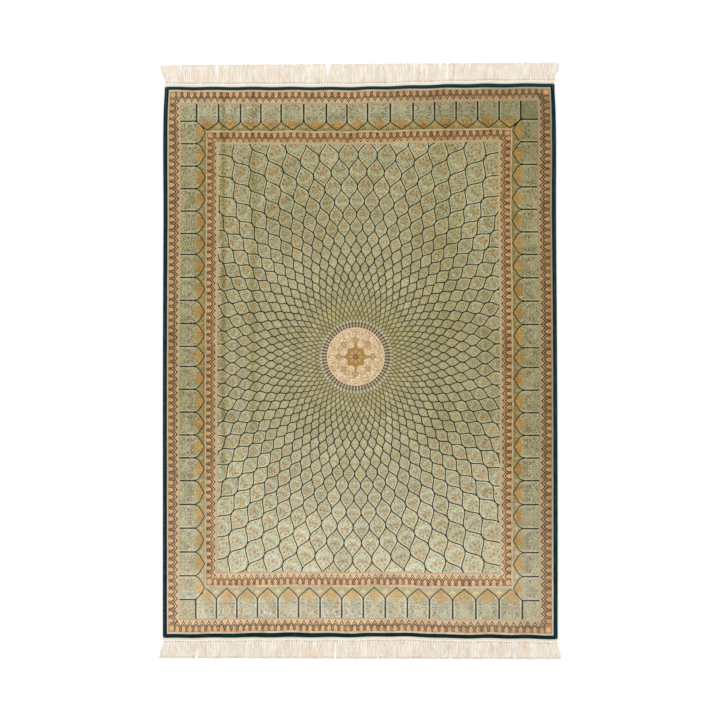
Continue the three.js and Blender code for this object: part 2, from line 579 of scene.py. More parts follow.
# painted sheen: how much lighter or darker the silk is painted at a point, the painted shade of creases
# included
def sheenLevelOf(x, y):
    table = np.array(sheenAlong, float)
    sheenLevel = np.interp(y, table[:, 0], table[:, 1])
    for streak in creaseShading:
        shape = np.exp(-(((x - streak["across"]) / streak["half"]) ** 2))
        sheenLevel = sheenLevel + streak["strength"] * shape * np.clip((y - streak["fade"]) / streakFade, 0, 1)
    for patch in sheenPatches:
        sheenLevel = sheenLevel + patch["strength"] * nearness(x, y, patch)
    far = np.clip((y - rightSheen["from"]) / rightSheen["along"], 0, 1)
    sheenLevel = sheenLevel - rightSheen["less"] * np.clip(x / rightSheen["across"], -1, 1) * far
    for row in sheenWaves:
        stretchX, stretchY = row["stretch"]
        sheenLevel = sheenLevel + row["strength"] * softWaves(*row["waves"])(x * stretchX, y * stretchY)
    return sheenLevel


def makePile():
    seam, halfWidth = pile["seam"], pile["halfWidth"]
    xs, chartX = acrossLines("left", "right", seam, seam, pile["chartHalfWidth"], -halfWidth, halfWidth)
    halfLength = pile["chartHalfLength"]
    ys, chartY = acrossLines("bottom", "top", 0.0, 0.0, halfLength, pile["bottom"], pile["top"])
    gridX, gridY = np.meshgrid(xs, ys)
    planX, planY = np.meshgrid(chartX, chartY)

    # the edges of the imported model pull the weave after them
    fromLeft, fromRight = gridX - xs[0], xs[-1] - gridX
    fromBottom, fromTop = gridY - ys[0], ys[-1] - gridY
    wide, long = xs[-1] - xs[0], ys[-1] - ys[0]
    left = leftEdge(gridY * mm) / mm - xs[0]
    right = rightEdge(gridY * mm) / mm - xs[-1]
    bottom = bottomEdge(gridX * mm) / mm - ys[0]
    top = topEdge(gridX * mm) / mm - ys[-1]
    faint, slow = pile["leanAcross"], pile["leanAlong"]
    x = gridX + left * (fromRight / wide) ** faint + right * (fromLeft / wide) ** faint
    y = gridY + bottom * (fromTop / long) ** slow + top * (fromBottom / long) ** slow
    fromEdge = np.minimum.reduce([fromLeft, fromRight, fromBottom, fromTop])
    inside = np.clip(fromEdge / pile["stillEdge"], 0, 1)
    held = np.clip(fromEdge / pile["stillRim"], 0, 1)
    swayX, swayY = (pile["sway"] * softWaves(*waves)(gridX, gridY) for waves in pile["swayWaves"])
    strayX, strayY = pulled(x, y, strays)
    edgeX, edgeY = pulled(x, y, edgeStrays)
    x += inside * (swayX + strayX) + held * edgeX
    y += inside * (swayY + strayY) + held * edgeY

    domeX, domeY = domePlace(x, y)
    sheenLevel = sheenLevelOf(x, y)
    rows, columns = x.shape
    ripple = softWaves(*pile["rippleWaves"])(x, y)
    steep, level = pile["rippleShare"]
    lift = pile["ripple"] * np.clip(ripple * steep + level, 0, 1) * inside

    def sheetPoints(height, inset, flare=0.0):
        # one layer of the pile, drawn in a little from the outline, and spread beyond it at the ends
        middleX, middleY = (x[:, :1] + x[:, -1:]) / 2, (y[:1] + y[-1:]) / 2
        px = x + (-np.sign(x - middleX) * inset / mm) * ((gridX == xs[0]) | (gridX == xs[-1]))
        py = y + (-np.sign(y - middleY) * (inset - flare) / mm) * ((gridY == ys[0]) | (gridY == ys[-1]))
        return np.stack([px * mm, py * mm, height + lift], -1).reshape(-1, 3)

    faceInset, backInset = pile["wallInset"]
    face = sheetPoints(pile["height"], pile["rounding"] * faceInset, pile["flare"])
    back = sheetPoints(pile["underside"], pile["rounding"] * backInset)
    quads, rim = gridFaces(rows, columns)
    wall = []
    for height, inset, flare in pile["wall"]:
        ringPoints = sheetPoints(height * pile["height"], inset * pile["rounding"], flare * pile["flare"])
        wall.append(ringPoints[rim])
    count, ring = rows * columns, len(rim)
    points = np.concatenate([face, back] + wall)

    faces = [quads, quads[:, ::-1] + count]
    levels = [rim] + [2 * count + n * ring + np.arange(ring) for n in range(len(wall))] + [rim + count]
    for upper, lower in zip(levels[:-1], levels[1:]):
        nextUpper, nextLower = np.roll(upper, -1), np.roll(lower, -1)
        faces.append(np.stack([upper, lower, nextLower, nextUpper], -1))
    faces = np.concatenate(faces)

    mesh = bpy.data.meshes.new("silkPile")
    mesh.from_pydata(points.tolist(), [], faces.tolist())

    # the place in the sheet that each point of the mesh stands over
    pick = np.concatenate([np.arange(count)] * 2 + [rim] * len(wall))

    def carry(name, *values):
        made = mesh.attributes.new(name, "FLOAT_VECTOR", "POINT")
        stacked = np.stack([value.ravel()[pick] for value in values], -1)
        made.data.foreach_set("vector", stacked.astype(np.float32).ravel())

    carry("chart", planX, planY, 0 * planX)
    carry("dome", domeX, domeY, 0 * domeX)
    for name, sides in rowsOfMotifs.items():
        for ending, measure in (("Count", countAlong), ("Past", beyondEnds)):
            across = np.where(y > 0, measure(x, sides["top"]), measure(x, sides["bottom"]))
            along = np.where(x > 0, measure(y, sides["right"]), measure(y, sides["left"]))
            carry(name + ending, across, along, 0 * x)
    # the painted sheen, carried to the shaders
    made = mesh.attributes.new("sheenLevel", "FLOAT", "POINT")
    made.data.foreach_set("value", sheenLevel.ravel()[pick].astype(np.float32))

    # each face takes the silk of its band
    depthX = pile["chartHalfWidth"] - np.abs(planX)
    depthY = pile["chartHalfLength"] - np.abs(planY)
    depth = np.minimum(depthX, depthY).ravel()[pick]
    radius = np.hypot(domeX, domeY).ravel()[pick]
    faceDepth = depth[faces].mean(1)
    faceRadius = radius[faces].min(1)
    limits = [band["chart"] for band in bands]
    slots = np.searchsorted(limits, faceDepth - 0.01)
    nearMiddle = faceRadius < medallion["reach"] + pile["medallionRim"]
    slots[(slots == len(bands)) & nearMiddle] = len(bands) + 1
    makers = [guardSilk, lineSilk, outerBuds, lineSilk, archSilk, lineSilk, innerBuds, lineSilk]
    makers += [fieldSilk, medallionSilk]
    made = {}
    for maker in makers:
        if maker not in made:
            made[maker] = maker()
        mesh.materials.append(made[maker])
    mesh.polygons.foreach_set("material_index", slots.astype(np.int32))
    mesh.polygons.foreach_set("use_smooth", np.ones(len(faces), bool))
    layMap(mesh, points, faces)
    mesh.update()
    piece = bpy.data.objects.new("silkPile", mesh)
    bpy.context.scene.collection.objects.link(piece)
    print("pile", len(faces) * 2, "triangles")
    return piece


def layMap(mesh, points, faces):
    # the face of the rug takes the map's lower part, the back a narrow strip above it
    low, high = points.min(0), points.max(0)
    unit = (points - low) / (high - low)
    corner = points[faces]
    turned = np.cross(corner[:, 1] - corner[:, 0], corner[:, 2] - corner[:, 0])[:, 2] > -1e-12
    uv = unit[faces][:, :, :2].copy()
    share = pile["mapShare"]
    backUp = share + 0.01 + uv[:, :, 1] * (0.99 - share)
    uv[:, :, 1] = np.where(turned[:, None], uv[:, :, 1] * share, backUp)
    layerMade = mesh.uv_layers.new(name="OFBake")
    layerMade.data.foreach_set("uv", uv.reshape(-1, 2).astype(np.float32).ravel())


# silks of the bands

chartAt = {band["name"]: band["chart"] for band in bands}

sheen = {
    "sheenGain": (1.53, 1.57, 1.95),  # painted sheen: how much lighter the silk's colour is painted where it leans fully
    # painted sheen: a pale veil painted over where the pile leans fully
    "sheenLift": (0.008, 0.008, 0.008),
    "knots": 0.55,  # knots for each mm
    "ribs": 1.6,  # mm from one row of knots to the next
    "ribHeight": 0.4 * mm,
    "sheenFrom": 0.75,  # the painted sheen at which the silk begins to be painted paler, and over how much more
    "sheenOver": 0.7,
}


def chartPlace(root):
    # where a point lies in the border: how deep, and whether along a long side or an end
    across, along = parts(attribute(root, "chart"))[:2]
    acrossDepth = pile["chartHalfWidth"] - sized(across)
    alongDepth = pile["chartHalfLength"] - sized(along)
    return {
        "depth": smaller(acrossDepth, alongDepth),
        "onSide": isUnder(acrossDepth, alongDepth),
        "across": across,
        "along": along,
        "acrossDepth": acrossDepth,
        "alongDepth": alongDepth,
    }


def grainOf(place, fineness, seed, detail=1.0):  # three noises that run over the whole rug
    return mottle(place["across"] * fineness, place["along"] * fineness, seed, detail=detail)


# where the painted sheen is strong: the silk is painted paler and its drawing softer there
def paintedSheenPart(root):
    return above(attribute(root, "sheenLevel", output="Fac"), sheen["sheenFrom"], sheen["sheenOver"])


def nearRightShadePart(place):  # painted shade: the near end of the right side, where the colours are painted deeper
    return above(place["across"], 300.0, 300.0) * below(place["along"], -420.0, 500.0)


def withPaintedSheen(root, colour, share):
    # painted sheen: the same silk is painted lighter or darker from place to place, standing for the light
    # its leaning pile sends back
    lean = attribute(root, "sheenLevel", output="Fac") * share

    def between(upright, leaning, clamp):
        settings = {"data_type": "VECTOR", "clamp_factor": clamp}
        return root.node("ShaderNodeMix", settings, {0: lean, 4: upright, 5: leaning}, output=1)

    gain = between((1.0, 1.0, 1.0), sheen["sheenGain"], False)
    lift = between((0.0, 0.0, 0.0), sheen["sheenLift"], True)
    return root.node("ShaderNodeVectorMath", {"operation": "MULTIPLY_ADD"}, {0: colour, 1: gain, 2: lift})


def woven(root, colour, sheenShare=1.0, shine=0.08):
    # knots too small to see one by one: a fine unevenness in colour, shine and height
    across, along = parts(attribute(root, "chart"))[:2]
    knots = mottle(across * sheen["knots"], along * sheen["knots"], 0.5, detail=2.0)
    rows = mottle(across * 0.05, along * 0.7, 4.5)
    shade = knots[0] * 0.3 + rows[0] * 0.1 + 0.8
    # the painted sheen first, then the knots' fine unevenness
    colour = tinted(withPaintedSheen(root, colour, sheenShare) if sheenShare else colour, shade, shade, shade)
    height = cosine(along * (2 * math.pi / sheen["ribs"])) * 0.3 + knots[1]
    relief = {"Strength": 0.25, "Distance": sheen["ribHeight"], "Height": height}
    finish(root, colour, knots[2] * 0.2 + 0.62, relief, sheen=shine * 0.6, specular=shine)


guardDyes = {
    "teal": dye(11, 48, 51), "inward": dye(6, 37, 39), "light": dye(17, 58, 61), "dark": dye(6, 31, 34),
    "farEdge": dye(22, 70, 75),
}


def guardSilk():
    material, root = newMaterial("guardSilk")
    place = chartPlace(root)
    patches = grainOf(place, 0.03, 1.0, detail=2.0)
    farEdge = above(place["along"], pile["chartHalfLength"] - 14.0, 8.0) * below(place["depth"], 8.0, 8.0)
    colour = dyed(
        guardDyes, "teal",
        ("inward", above(place["depth"], 8.5, 5.0)),
        ("light", above(patches[0], 0.56, 0.16) * 0.6),
        ("dark", above(patches[1], 0.56, 0.14) * 0.6),
        ("farEdge", farEdge * 0.6),
    )
    woven(root, colour, sheenShare=0.0, shine=0.03)
    return material


lineDyes = {
    "line": dye(190, 163, 128), "light": dye(199, 174, 138), "dull": dye(184, 156, 126),
    "brown": dye(166, 140, 106), "second": dye(158, 141, 114), "inmost": dye(185, 161, 129),
    # the inmost line's colour under painted sheen, then deeper colours of painted shade for the right side,
    # and next a lighter one for the painted sheen of the left
    "inmostSheen": dye(164, 148, 122), "right": dye(152, 131, 106), "outmostRight": dye(156, 146, 120),
    "left": dye(200, 175, 141),
}


def lineSilk():
    material, root = newMaterial("lineSilk")
    place = chartPlace(root)
    depth, across = place["depth"], place["across"]
    patches = grainOf(place, 0.035, 2.0, detail=2.0)
    # painted sheen: the inmost line is painted paler where it is
    sheenLit = paintedSheenPart(root)
    outmost = below(depth, chartAt["outerLine"] + 3.0, 1.0)
    second = within(depth, chartAt["outerBuds"] - 1.0, chartAt["archLineOut"] + 1.0, 1.0)
    inmost = above(depth, chartAt["innerBuds"], 1.0)
    # painted shade and sheen: the outer lines painted deeper along the right side, where there is no
    # painted sheen, and lighter along the left
    right = above(across, 440.0, 60.0) * below(depth, chartAt["archLineOut"] + 1.0, 1.0) * (1.0 - sheenLit)
    colour = dyed(
        lineDyes, "line",
        ("light", above(patches[0], 0.52, 0.12)),
        ("dull", above(patches[1], 0.56, 0.12)),
        ("brown", above(patches[2], 0.58, 0.1) * 0.7),
        ("second", second * 0.7),
        ("inmost", inmost * 0.7),
        ("inmostSheen", inmost * sheenLit * 0.65),
        ("right", right * 0.6),
        ("outmostRight", right * outmost * 0.4),
        ("left", below(across, -640.0, 40.0) * 0.6),
    )
    woven(root, colour, sheenShare=0.44)
    return material


def motifPlace(root, name):
    # which motif of a row a point lies in, and how far past the ends of the rows it lies
    acrossCount, alongCount = parts(attribute(root, name + "Count"))[:2]
    acrossPast, alongPast = parts(attribute(root, name + "Past"))[:2]
    return {
        "acrossCount": acrossCount,
        "alongCount": alongCount,
        "acrossPast": acrossPast,
        "alongPast": alongPast,
        "past": smaller(acrossPast, alongPast),
    }


# a narrow border of buds between two lines: the buds hang from the outer line above a zigzag

budLayout = {
    "pitch": 23.5,  # mm
    "halfBud": 0.235,  # share of the pitch
    "veeTip": 0.66,  # shares of the depth of the border, over the middle of a bud
    "veeFall": (0.68, 0.5),  # along the ends and along the sides
    "zigzagTip": 0.92,
    "zigzagFall": (0.94, 0.69),
    "cornerBud": 8.6,  # half the width of the square bud in a corner
    "cornerPlace": 11.0,
    "outer": {
        "rows": "outerBuds",
        "start": chartAt["outerLine"],
        "end": chartAt["outerBuds"],
        "veeHalf": 0.064,
        "zigzagHalf": 0.073,
        "shade": (0.27, 0.2),  # painted shade: how much deeper the colours are painted at the far and near end of the right side
        # share of a last colour laid where the painted sheen is
        "sheenTint": 0.05,
    },
    "inner": {
        "rows": "innerBuds",
        "start": chartAt["archLineIn"],
        "end": chartAt["innerBuds"],
        "veeHalf": 0.056,
        "zigzagHalf": 0.064,
        "shade": (0.2, 0.0),
        "sheenTint": 0.0,
    },
}

# the bud's colour under painted sheen, and a last colour laid where the painted sheen is, are listed with
# the rest
outerBudDyes = {
    "ground": dye(120, 90, 52), "groundPale": dye(142, 110, 68), "groundDark": dye(88, 64, 36),
    "bud": dye(186, 148, 95), "budCore": dye(178, 132, 78), "budPale": dye(211, 179, 126),
    "budSheen": dye(168, 142, 94), "stripe": dye(206, 176, 128),
    "line": dye(46, 32, 18), "lineDark": dye(34, 24, 14),
    "point": dye(193, 160, 108), "pointMiddle": dye(168, 143, 90),
    "cornerGround": dye(140, 108, 66), "sheenLit": dye(104, 82, 42),
}

# the bud's colour under painted sheen is listed with the rest
innerBudDyes = {
    "ground": dye(120, 86, 52), "groundPale": dye(142, 106, 68), "groundDark": dye(86, 60, 36),
    "bud": dye(192, 152, 98), "budCore": dye(184, 134, 79), "budPale": dye(214, 180, 127),
    "budSheen": dye(172, 146, 98), "stripe": dye(206, 174, 123),
    "line": dye(52, 36, 21), "lineDark": dye(36, 26, 16),
    "point": dye(194, 160, 111), "pointMiddle": dye(166, 142, 92),
    "cornerGround": dye(140, 104, 64),
}


def budBorder(name, layout, dyes):
    material, root = newMaterial(name)
    place = chartPlace(root)
    motif = motifPlace(root, layout["rows"])
    # painted sheen: the buds painted paler and the dark knots fainter where it is
    sheenLit = paintedSheenPart(root)
    onSide = place["onSide"]
    count = choose(onSide, motif["acrossCount"], motif["alongCount"]) + 0.5
    off = sized(wrapped(count) - 0.5)
    deep = (place["depth"] - layout["start"]) / (layout["end"] - layout["start"])
    seed = chance(floorOf(count), onSide, isUnder(place["across"] + place["along"], 0.0))
    speck = grainOf(place, 0.32, 6.0)
    patch = grainOf(place, 0.02, 8.0)
    zigzagLine = budLayout["zigzagTip"] - off * choose(onSide, *budLayout["zigzagFall"])
    veeLine = budLayout["veeTip"] - off * choose(onSide, *budLayout["veeFall"])

    ground = dyed(
        dyes, "ground",
        ("groundPale", above(speck[2], 0.54, 0.08) * 0.5),
        ("groundDark", above(off, 0.36, 0.12) * (seed[2] * 0.6 + 0.3)),
        ("groundDark", above(speck[0], 0.54, 0.06) * 0.6),
        ("stripe", above(speck[1], 0.6, 0.06) * 0.45),
    )
    # tan points reach in from the inner line
    points = dyed(
        dyes, "point",
        ("pointMiddle", above(off, 0.34, 0.14) * above(deep, 0.74, 0.12) * 0.6),
        ("stripe", above(speck[2], 0.56, 0.06) * 0.6),
    )
    # the bud narrows towards its lower end
    narrowing = power(larger(deep - 0.25, 0.0) * 3.1, 1.9)
    budShape = below(off, (1.0 - narrowing) * budLayout["halfBud"], 0.06) * above(deep, 0.02, 0.04)
    bud = dyed(
        dyes, "bud",
        ("budCore", below(off, 0.1, 0.1) * (seed[0] * 0.8)),
        ("budPale", above(off, 0.12, 0.08) * (seed[1] * 0.7 + 0.2)),
        ("budPale", above(deep, 0.3, 0.16) * 0.5),
        ("budSheen", sheenLit * 0.45),
        ("groundPale", above(speck[0], 0.54, 0.06) * 0.35),
    )
    colour = dyed(
        dyes, ground,
        (points, above(deep, zigzagLine, 0.04)),
        ("stripe", above(deep, veeLine, 0.05) * below(deep, zigzagLine, 0.05) * 0.9),
        (bud, budShape),
        ("groundDark", above(patch[0], 0.55, 0.1) * 0.25),
        # painted shade: darker towards the right side
        ("groundDark", above(place["across"], 560.0, 60.0) * 0.14),
    )

    # the two dark zigzags, the knots where they turn, and painted shade: the colours of the right side
    # painted deeper at its ends
    vee = below(sized(deep - veeLine), layout["veeHalf"], 0.02) * below(off, 0.44, 0.06)
    zigzag = below(sized(deep - zigzagLine), layout["zigzagHalf"], 0.02)
    bold = 1.0 - sheenLit * 0.85
    farShade, nearShade = layout["shade"]
    farRight = above(place["along"], 820.0, 40.0) * above(place["across"], 120.0, 200.0)
    colour = dyed(
        dyes, colour,
        ("line", vee * (seed[1] * 0.3 + 0.7)),
        ("line", zigzag * 0.95),
        ("lineDark", spot(0.5 - off, deep - 0.59, 0.1, 0.07, 0.7) * bold * 0.5),
        ("lineDark", spot(off, deep - 0.65, 0.08, 0.07, 0.7) * bold * 0.6),
        ("lineDark", spot(off, deep - 0.86, 0.09, 0.07, 0.7) * bold * 0.6),
        ("line", below(deep, 0.0, 0.05) * 0.6),
        ("groundDark", farRight * farShade + nearRightShadePart(place) * nearShade),
    )
    # painted sheen: a last colour laid where it is
    if layout["sheenTint"]:
        colour = layer(colour, dyes["sheenLit"], sheenLit * layout["sheenTint"])

    # corner: one larger bud on the plain ground
    middle = layout["start"] + budLayout["cornerPlace"]
    outward, upward = sized(place["acrossDepth"] - middle), sized(place["alongDepth"] - middle)
    reach = larger(outward, upward) * 0.75 + (outward + upward) * 0.25
    cornerBud = dyed(
        dyes, "bud",
        ("budPale", above(speck[1], 0.5, 0.08) * 0.5),
        ("budCore", above(speck[2], 0.56, 0.08) * 0.7),
        ("budSheen", sheenLit * 0.7),
        ("groundPale", above(speck[0], 0.52, 0.08) * 0.3),
    )
    corner = dyed(
        dyes, "cornerGround",
        ("ground", above(speck[0], 0.52, 0.08) * 0.7),
        (cornerBud, below(reach, budLayout["cornerBud"], 1.6)),
    )
    colour = layer(colour, corner, above(motif["past"], budLayout["pitch"] / 2, 1.5))
    woven(root, colour, sheenShare=0.85)
    return material


def outerBuds():
    return budBorder("outerBudSilk", budLayout["outer"], outerBudDyes)


def innerBuds():
    return budBorder("innerBudSilk", budLayout["inner"], innerBudDyes)


# the broad border of pointed arches; a pair of values is for the ends and for the sides

archLayout = {
    "start": chartAt["archLineOut"],
    "end": chartAt["archBand"],
    "pitch": (77.0, 81.0),  # mm
    "spring": (0.635, 0.6),  # share of the depth where the arch leaves the upright line
    "springNear": 0.035,  # how much lower that is at the near end
    "rise": (0.345, 0.38),
    "straight": (0.85, 0.7),  # share of the rise that is straight, up to the point
    "bend": 7.0,
    "headStart": 0.62,  # the gold of the head: where it starts, how broad, and how its sides fall
    "headHalf": (0.2, 0.42),
    "headFall": (0.25, 0.9),
    "lineHalf": (2.6, 2.0),  # of the upright lines, mm
    "lineArch": 1.6,
    "mitre": 26.0,  # mm that the arches beside a corner share one line
    "floretUp": (12.8, 16.8),
    "bloomUp": 79.0,
}

archDyes = {
    "ground": dye(153, 147, 106), "pale": dye(178, 172, 131), "blue": dye(158, 167, 134),
    "olive": dye(96, 92, 54), "cream": dye(204, 192, 150), "brown": dye(104, 76, 42),
    "dark": dye(66, 58, 34), "gold": dye(174, 130, 60), "goldPale": dye(198, 160, 92),
    "goldDark": dye(134, 92, 34), "coral": dye(190, 138, 92), "coralPale": dye(192, 156, 114),
    "line": dye(40, 42, 34), "lineDark": dye(20, 23, 21),
    "spandrel": dye(130, 120, 72), "spandrelDark": dye(101, 93, 54), "spandrelPale": dye(155, 147, 96),
    "bloom": dye(172, 138, 78), "bloomPale": dye(190, 158, 100),
    # colours laid where the painted sheen is: grey-blue, tan, gold, spandrel and line
    "greyBlue": dye(159, 161, 133), "tanSheen": dye(158, 134, 90), "goldSheen": dye(172, 142, 86),
    "spandrelSheen": dye(162, 156, 116), "lineSheen": dye(86, 86, 72),
}

# marks inside an arch, mirrored about its middle, in mm: beside, up, half wide, half high
archMarks = {
    "ends": [
        {"at": (21, 19), "half": (4.2, 3.4), "dye": "brown", "show": 0.6},
        {"at": (26, 12), "half": (3.0, 2.6), "dye": "olive", "show": 0.5},
        {"at": (11.5, 22), "half": (2.0, 9), "dye": "cream", "show": 0.35},
        {"at": (24, 35), "half": (3.4, 1.9), "dye": "olive", "show": 0.6},
        {"at": (14, 35), "half": (3.4, 1.9), "dye": "olive", "show": 0.5},
        {"at": (25, 39.5), "half": (3.6, 2.0), "dye": "blue", "show": 0.7},
        {"at": (15, 39.5), "half": (3.4, 2.0), "dye": "blue", "show": 0.65},
        {"at": (25, 44), "half": (4.4, 1.9), "dye": "olive", "show": 0.7},
        {"at": (15, 44), "half": (3.0, 1.9), "dye": "olive", "show": 0.6},
        {"at": (4, 49), "half": (2.4, 2.4), "dye": "olive", "show": 0.6},
    ],
    "sides": [
        {"at": (24, 33), "half": (5.2, 2.3), "dye": "dark", "show": 0.75},
        {"at": (31, 32), "half": (2.6, 3.2), "dye": "cream", "show": 0.5},
        {"at": (30, 17), "half": (3.2, 2.8), "dye": "brown", "show": 0.55},
        {"at": (23, 18), "half": (2.6, 2.4), "dye": "olive", "show": 0.6},
        {"at": (16.5, 42), "half": (3.4, 2.4), "dye": "olive", "show": 0.7},
        {"at": (24, 45.5), "half": (3.0, 2.2), "dye": "olive", "show": 0.5},
        {"at": (8.5, 43), "half": (2.6, 2.4), "dye": "olive", "show": 0.6},
        {"at": (12, 27), "half": (2.2, 5.0), "dye": "pale", "show": 0.6},
        {"at": (5, 49), "half": (2.6, 2.4), "dye": "olive", "show": 0.55},
        {"at": (31, 48), "half": (3.0, 3.6), "dye": "blue", "show": 0.6},
    ],
}


def archPlace(root):
    # where a point lies in its arch: mm beside the middle and up from the foot, and shares of both
    at = chartPlace(root)
    at.update(motifPlace(root, "archBand"))
    onSide = isUnder(at["alongPast"], at["acrossPast"])
    count = choose(onSide, at["acrossCount"], at["alongCount"])
    pitch = choose(onSide, *archLayout["pitch"])
    number = floorOf(count)
    off = sized(wrapped(count) - 0.5)
    aside = off * pitch
    up = choose(onSide, at["alongDepth"], at["acrossDepth"]) - archLayout["start"]
    right = above(at["across"], 300.0, 300.0)
    at.update({
        "onSide": onSide,
        "atEnd": 1.0 - onSide,
        "pitch": pitch,
        "off": off,
        "aside": aside,
        "besideJoin": (0.5 - off) * pitch,
        "up": up,
        "deep": up / (archLayout["end"] - archLayout["start"]),
        "seed": chance(number, onSide, isUnder(at["across"] + at["along"], 0.0) + 9.0),
        # painted sheen, then painted shade at the far and the near end of the right side
        "sheenLit": paintedSheenPart(root),
        "farRight": right * above(at["along"], 700.0, 300.0),
        "nearRight": nearRightShadePart(at),
        # the drawing inside each arch is mirrored, and much alike from arch to arch
        "leaf": mottle(aside * 0.23, up * 0.23, number * 0.21),
        "vine": mottle(aside * 0.12, up * 0.12, number * 0.08 + 7.0, detail=0.0),
        "loose": grainOf(at, 0.23, 12.0),
        "patch": grainOf(at, 0.022, 15.0),
    })
    return at


def archBody(at):
    aside, up, onSide, sheenLit = at["aside"], at["up"], at["onSide"], at["sheenLit"]
    leaf, vine, loose, patch = at["leaf"], at["vine"], at["loose"], at["patch"]
    body = dyed(
        archDyes, "ground",
        ("pale", above(leaf[0], 0.5, 0.08) * 0.7),
        ("blue", above(leaf[1], 0.53, 0.06) * 0.7),
        ("cream", above(loose[1], 0.55, 0.06) * 0.75),
        ("olive", above(leaf[2], 0.545, 0.06) * (0.75 - sheenLit * 0.3)),
        ("olive", above(loose[0], 0.57, 0.05) * (0.7 - sheenLit * 0.3)),
        # painted sheen: grey-blue and tan laid where it is
        ("greyBlue", above(patch[0], 0.48, 0.12) * sheenLit * 0.4),
        ("tanSheen", above(patch[1], 0.5, 0.12) * sheenLit * 0.45),
        ("brown", above(loose[2], 0.6, 0.05) * 0.7),
        ("olive", below(sized(vine[0] - 0.5), 0.02, 0.03) * 0.4),
        ("cream", below(sized(vine[1] - 0.5), 0.018, 0.03) * 0.5),
    )
    for row, mask in (("ends", at["atEnd"]), ("sides", onSide)):
        for mark in archMarks[row]:
            shape = spot(aside - mark["at"][0], up - mark["at"][1], *mark["half"], 0.7)
            body = layer(body, archDyes[mark["dye"]], shape * mask * mark["show"])
    floret = spot(aside, up - choose(onSide, *archLayout["floretUp"]), 5.0, 4.6, 0.8)
    floret = floret * (at["seed"][1] * 0.3 + 0.45)
    return dyed(
        archDyes, body,
        ("coral", floret),
        ("coralPale", floret * at["seed"][0]),
        ("olive", above(patch[0], 0.56, 0.1) * 0.2),
        ("pale", above(patch[2], 0.56, 0.1) * 0.3),
        # painted shade at the ends of the right side
        ("olive", at["farRight"] * 0.33 + at["nearRight"] * 0.26),
    )


def archHead(at, body):
    # the golden head, speckled where it starts
    leaf, loose, onSide, sheenLit = at["leaf"], at["loose"], at["onSide"], at["sheenLit"]
    beyond = larger(at["off"] * 2.0 - choose(onSide, *archLayout["headHalf"]), 0.0)
    start = beyond * choose(onSide, *archLayout["headFall"]) + archLayout["headStart"]
    # painted sheen widens the head at the ends and pales its gold
    start = start - sheenLit * at["atEnd"] * 0.06
    head = above(at["deep"] + (leaf[0] + loose[0]) * 0.55 - 0.55, start, 0.1)
    gold = dyed(
        archDyes, "gold",
        ("goldPale", above(leaf[1], 0.5, 0.08) * 0.8),
        ("goldDark", above(loose[2], 0.55, 0.08) * 0.7),
        ("goldDark", above(at["patch"][1], 0.54, 0.12) * 0.5),
        ("spandrelPale", above(loose[1], 0.6, 0.08) * 0.5),
        ("brown", above(leaf[2], 0.54, 0.06) * at["atEnd"] * 0.6),
        ("goldSheen", sheenLit * (0.5 - onSide * 0.45)),
        # painted shade at the near end of the right side
        ("goldDark", at["nearRight"] * 0.24),
    )
    return layer(body, gold, head * (0.95 - sheenLit * 0.15))


def archCurve(at):
    # how far a point lies beyond the arch, how steep the arch is there, and where it springs
    tall = archLayout["end"] - archLayout["start"]
    double, bend = at["off"] * 2.0, archLayout["bend"]
    straight = choose(at["onSide"], *archLayout["straight"])
    lower = isUnder(at["along"], 0.0) * at["atEnd"] * archLayout["springNear"]
    rise = (choose(at["onSide"], *archLayout["rise"]) + lower * 0.6) * tall
    spring = (choose(at["onSide"], *archLayout["spring"]) - lower) * tall
    fall = double * straight + power(double, bend) * (1.0 - straight)
    slope = (power(double, bend - 1) * (1.0 - straight) * bend + straight) * rise * 2.0 / at["pitch"]
    return at["up"] - (1.0 - fall) * rise - spring, rootOf(slope * slope + 1.0), spring


def spandrelOf(at):
    # beyond the arch: a green corner with a bloom above each upright line
    beside, up = at["besideJoin"], at["up"]
    bloomUp = up - archLayout["bloomUp"]
    petals = larger(spot(beside, bloomUp, 7.0, 3.8, 0.6), spot(beside, bloomUp, 3.8, 7.5, 0.6))
    petals = larger(petals, spot(beside, bloomUp, 10.5, 4.4, 0.6) * at["atEnd"])
    bloom = dyed(
        archDyes, "bloom",
        ("bloomPale", above(at["leaf"][1], 0.5, 0.1) * 0.7),
        # painted sheen: the bloom paler where it is
        ("cream", at["sheenLit"] * 0.3),
    )
    return dyed(
        archDyes, "spandrel",
        ("spandrelDark", above(at["leaf"][0], 0.53, 0.08) * 0.8),
        ("spandrelPale", above(at["loose"][1], 0.54, 0.08) * 0.8),
        # painted sheen: the spandrel paler where it is
        ("spandrelSheen", at["sheenLit"] * 0.5),
        (bloom, petals * 0.85),
        ("bloom", diamond(beside, sized(up - 70), 4.0, 10.0, 0.6) * 0.5),
        ("bloom", spot(beside - 17, up - 85, 2.8, 2.4, 0.7) * 0.6),
    )


def cornerPanel(at):
    loose = at["loose"]
    nearX, nearY = at["acrossDepth"] - archLayout["start"], at["alongDepth"] - archLayout["start"]
    return dyed(
        archDyes, "ground",
        ("pale", above(loose[0], 0.5, 0.08) * 0.8),
        ("blue", above(loose[1], 0.54, 0.08) * 0.8),
        ("olive", above(loose[2], 0.55, 0.08) * 0.8),
        # painted sheen, then painted shade at the ends of the right side
        ("tanSheen", at["sheenLit"] * 0.35),
        ("olive", at["farRight"] * 0.6 + at["nearRight"] * 0.12),
        ("olive", spot(nearX - 20, nearY - 20, 9, 9, 0.5) * 0.4),
        ("coral", spot(nearX - 20, nearY - 20, 4.5, 4.5, 0.8) * 0.6),
        ("brown", spot(nearX - 16, nearY - 48, 3, 3, 0.6) * 0.6),
        ("brown", spot(nearX - 48, nearY - 16, 3, 3, 0.6) * 0.6),
    )


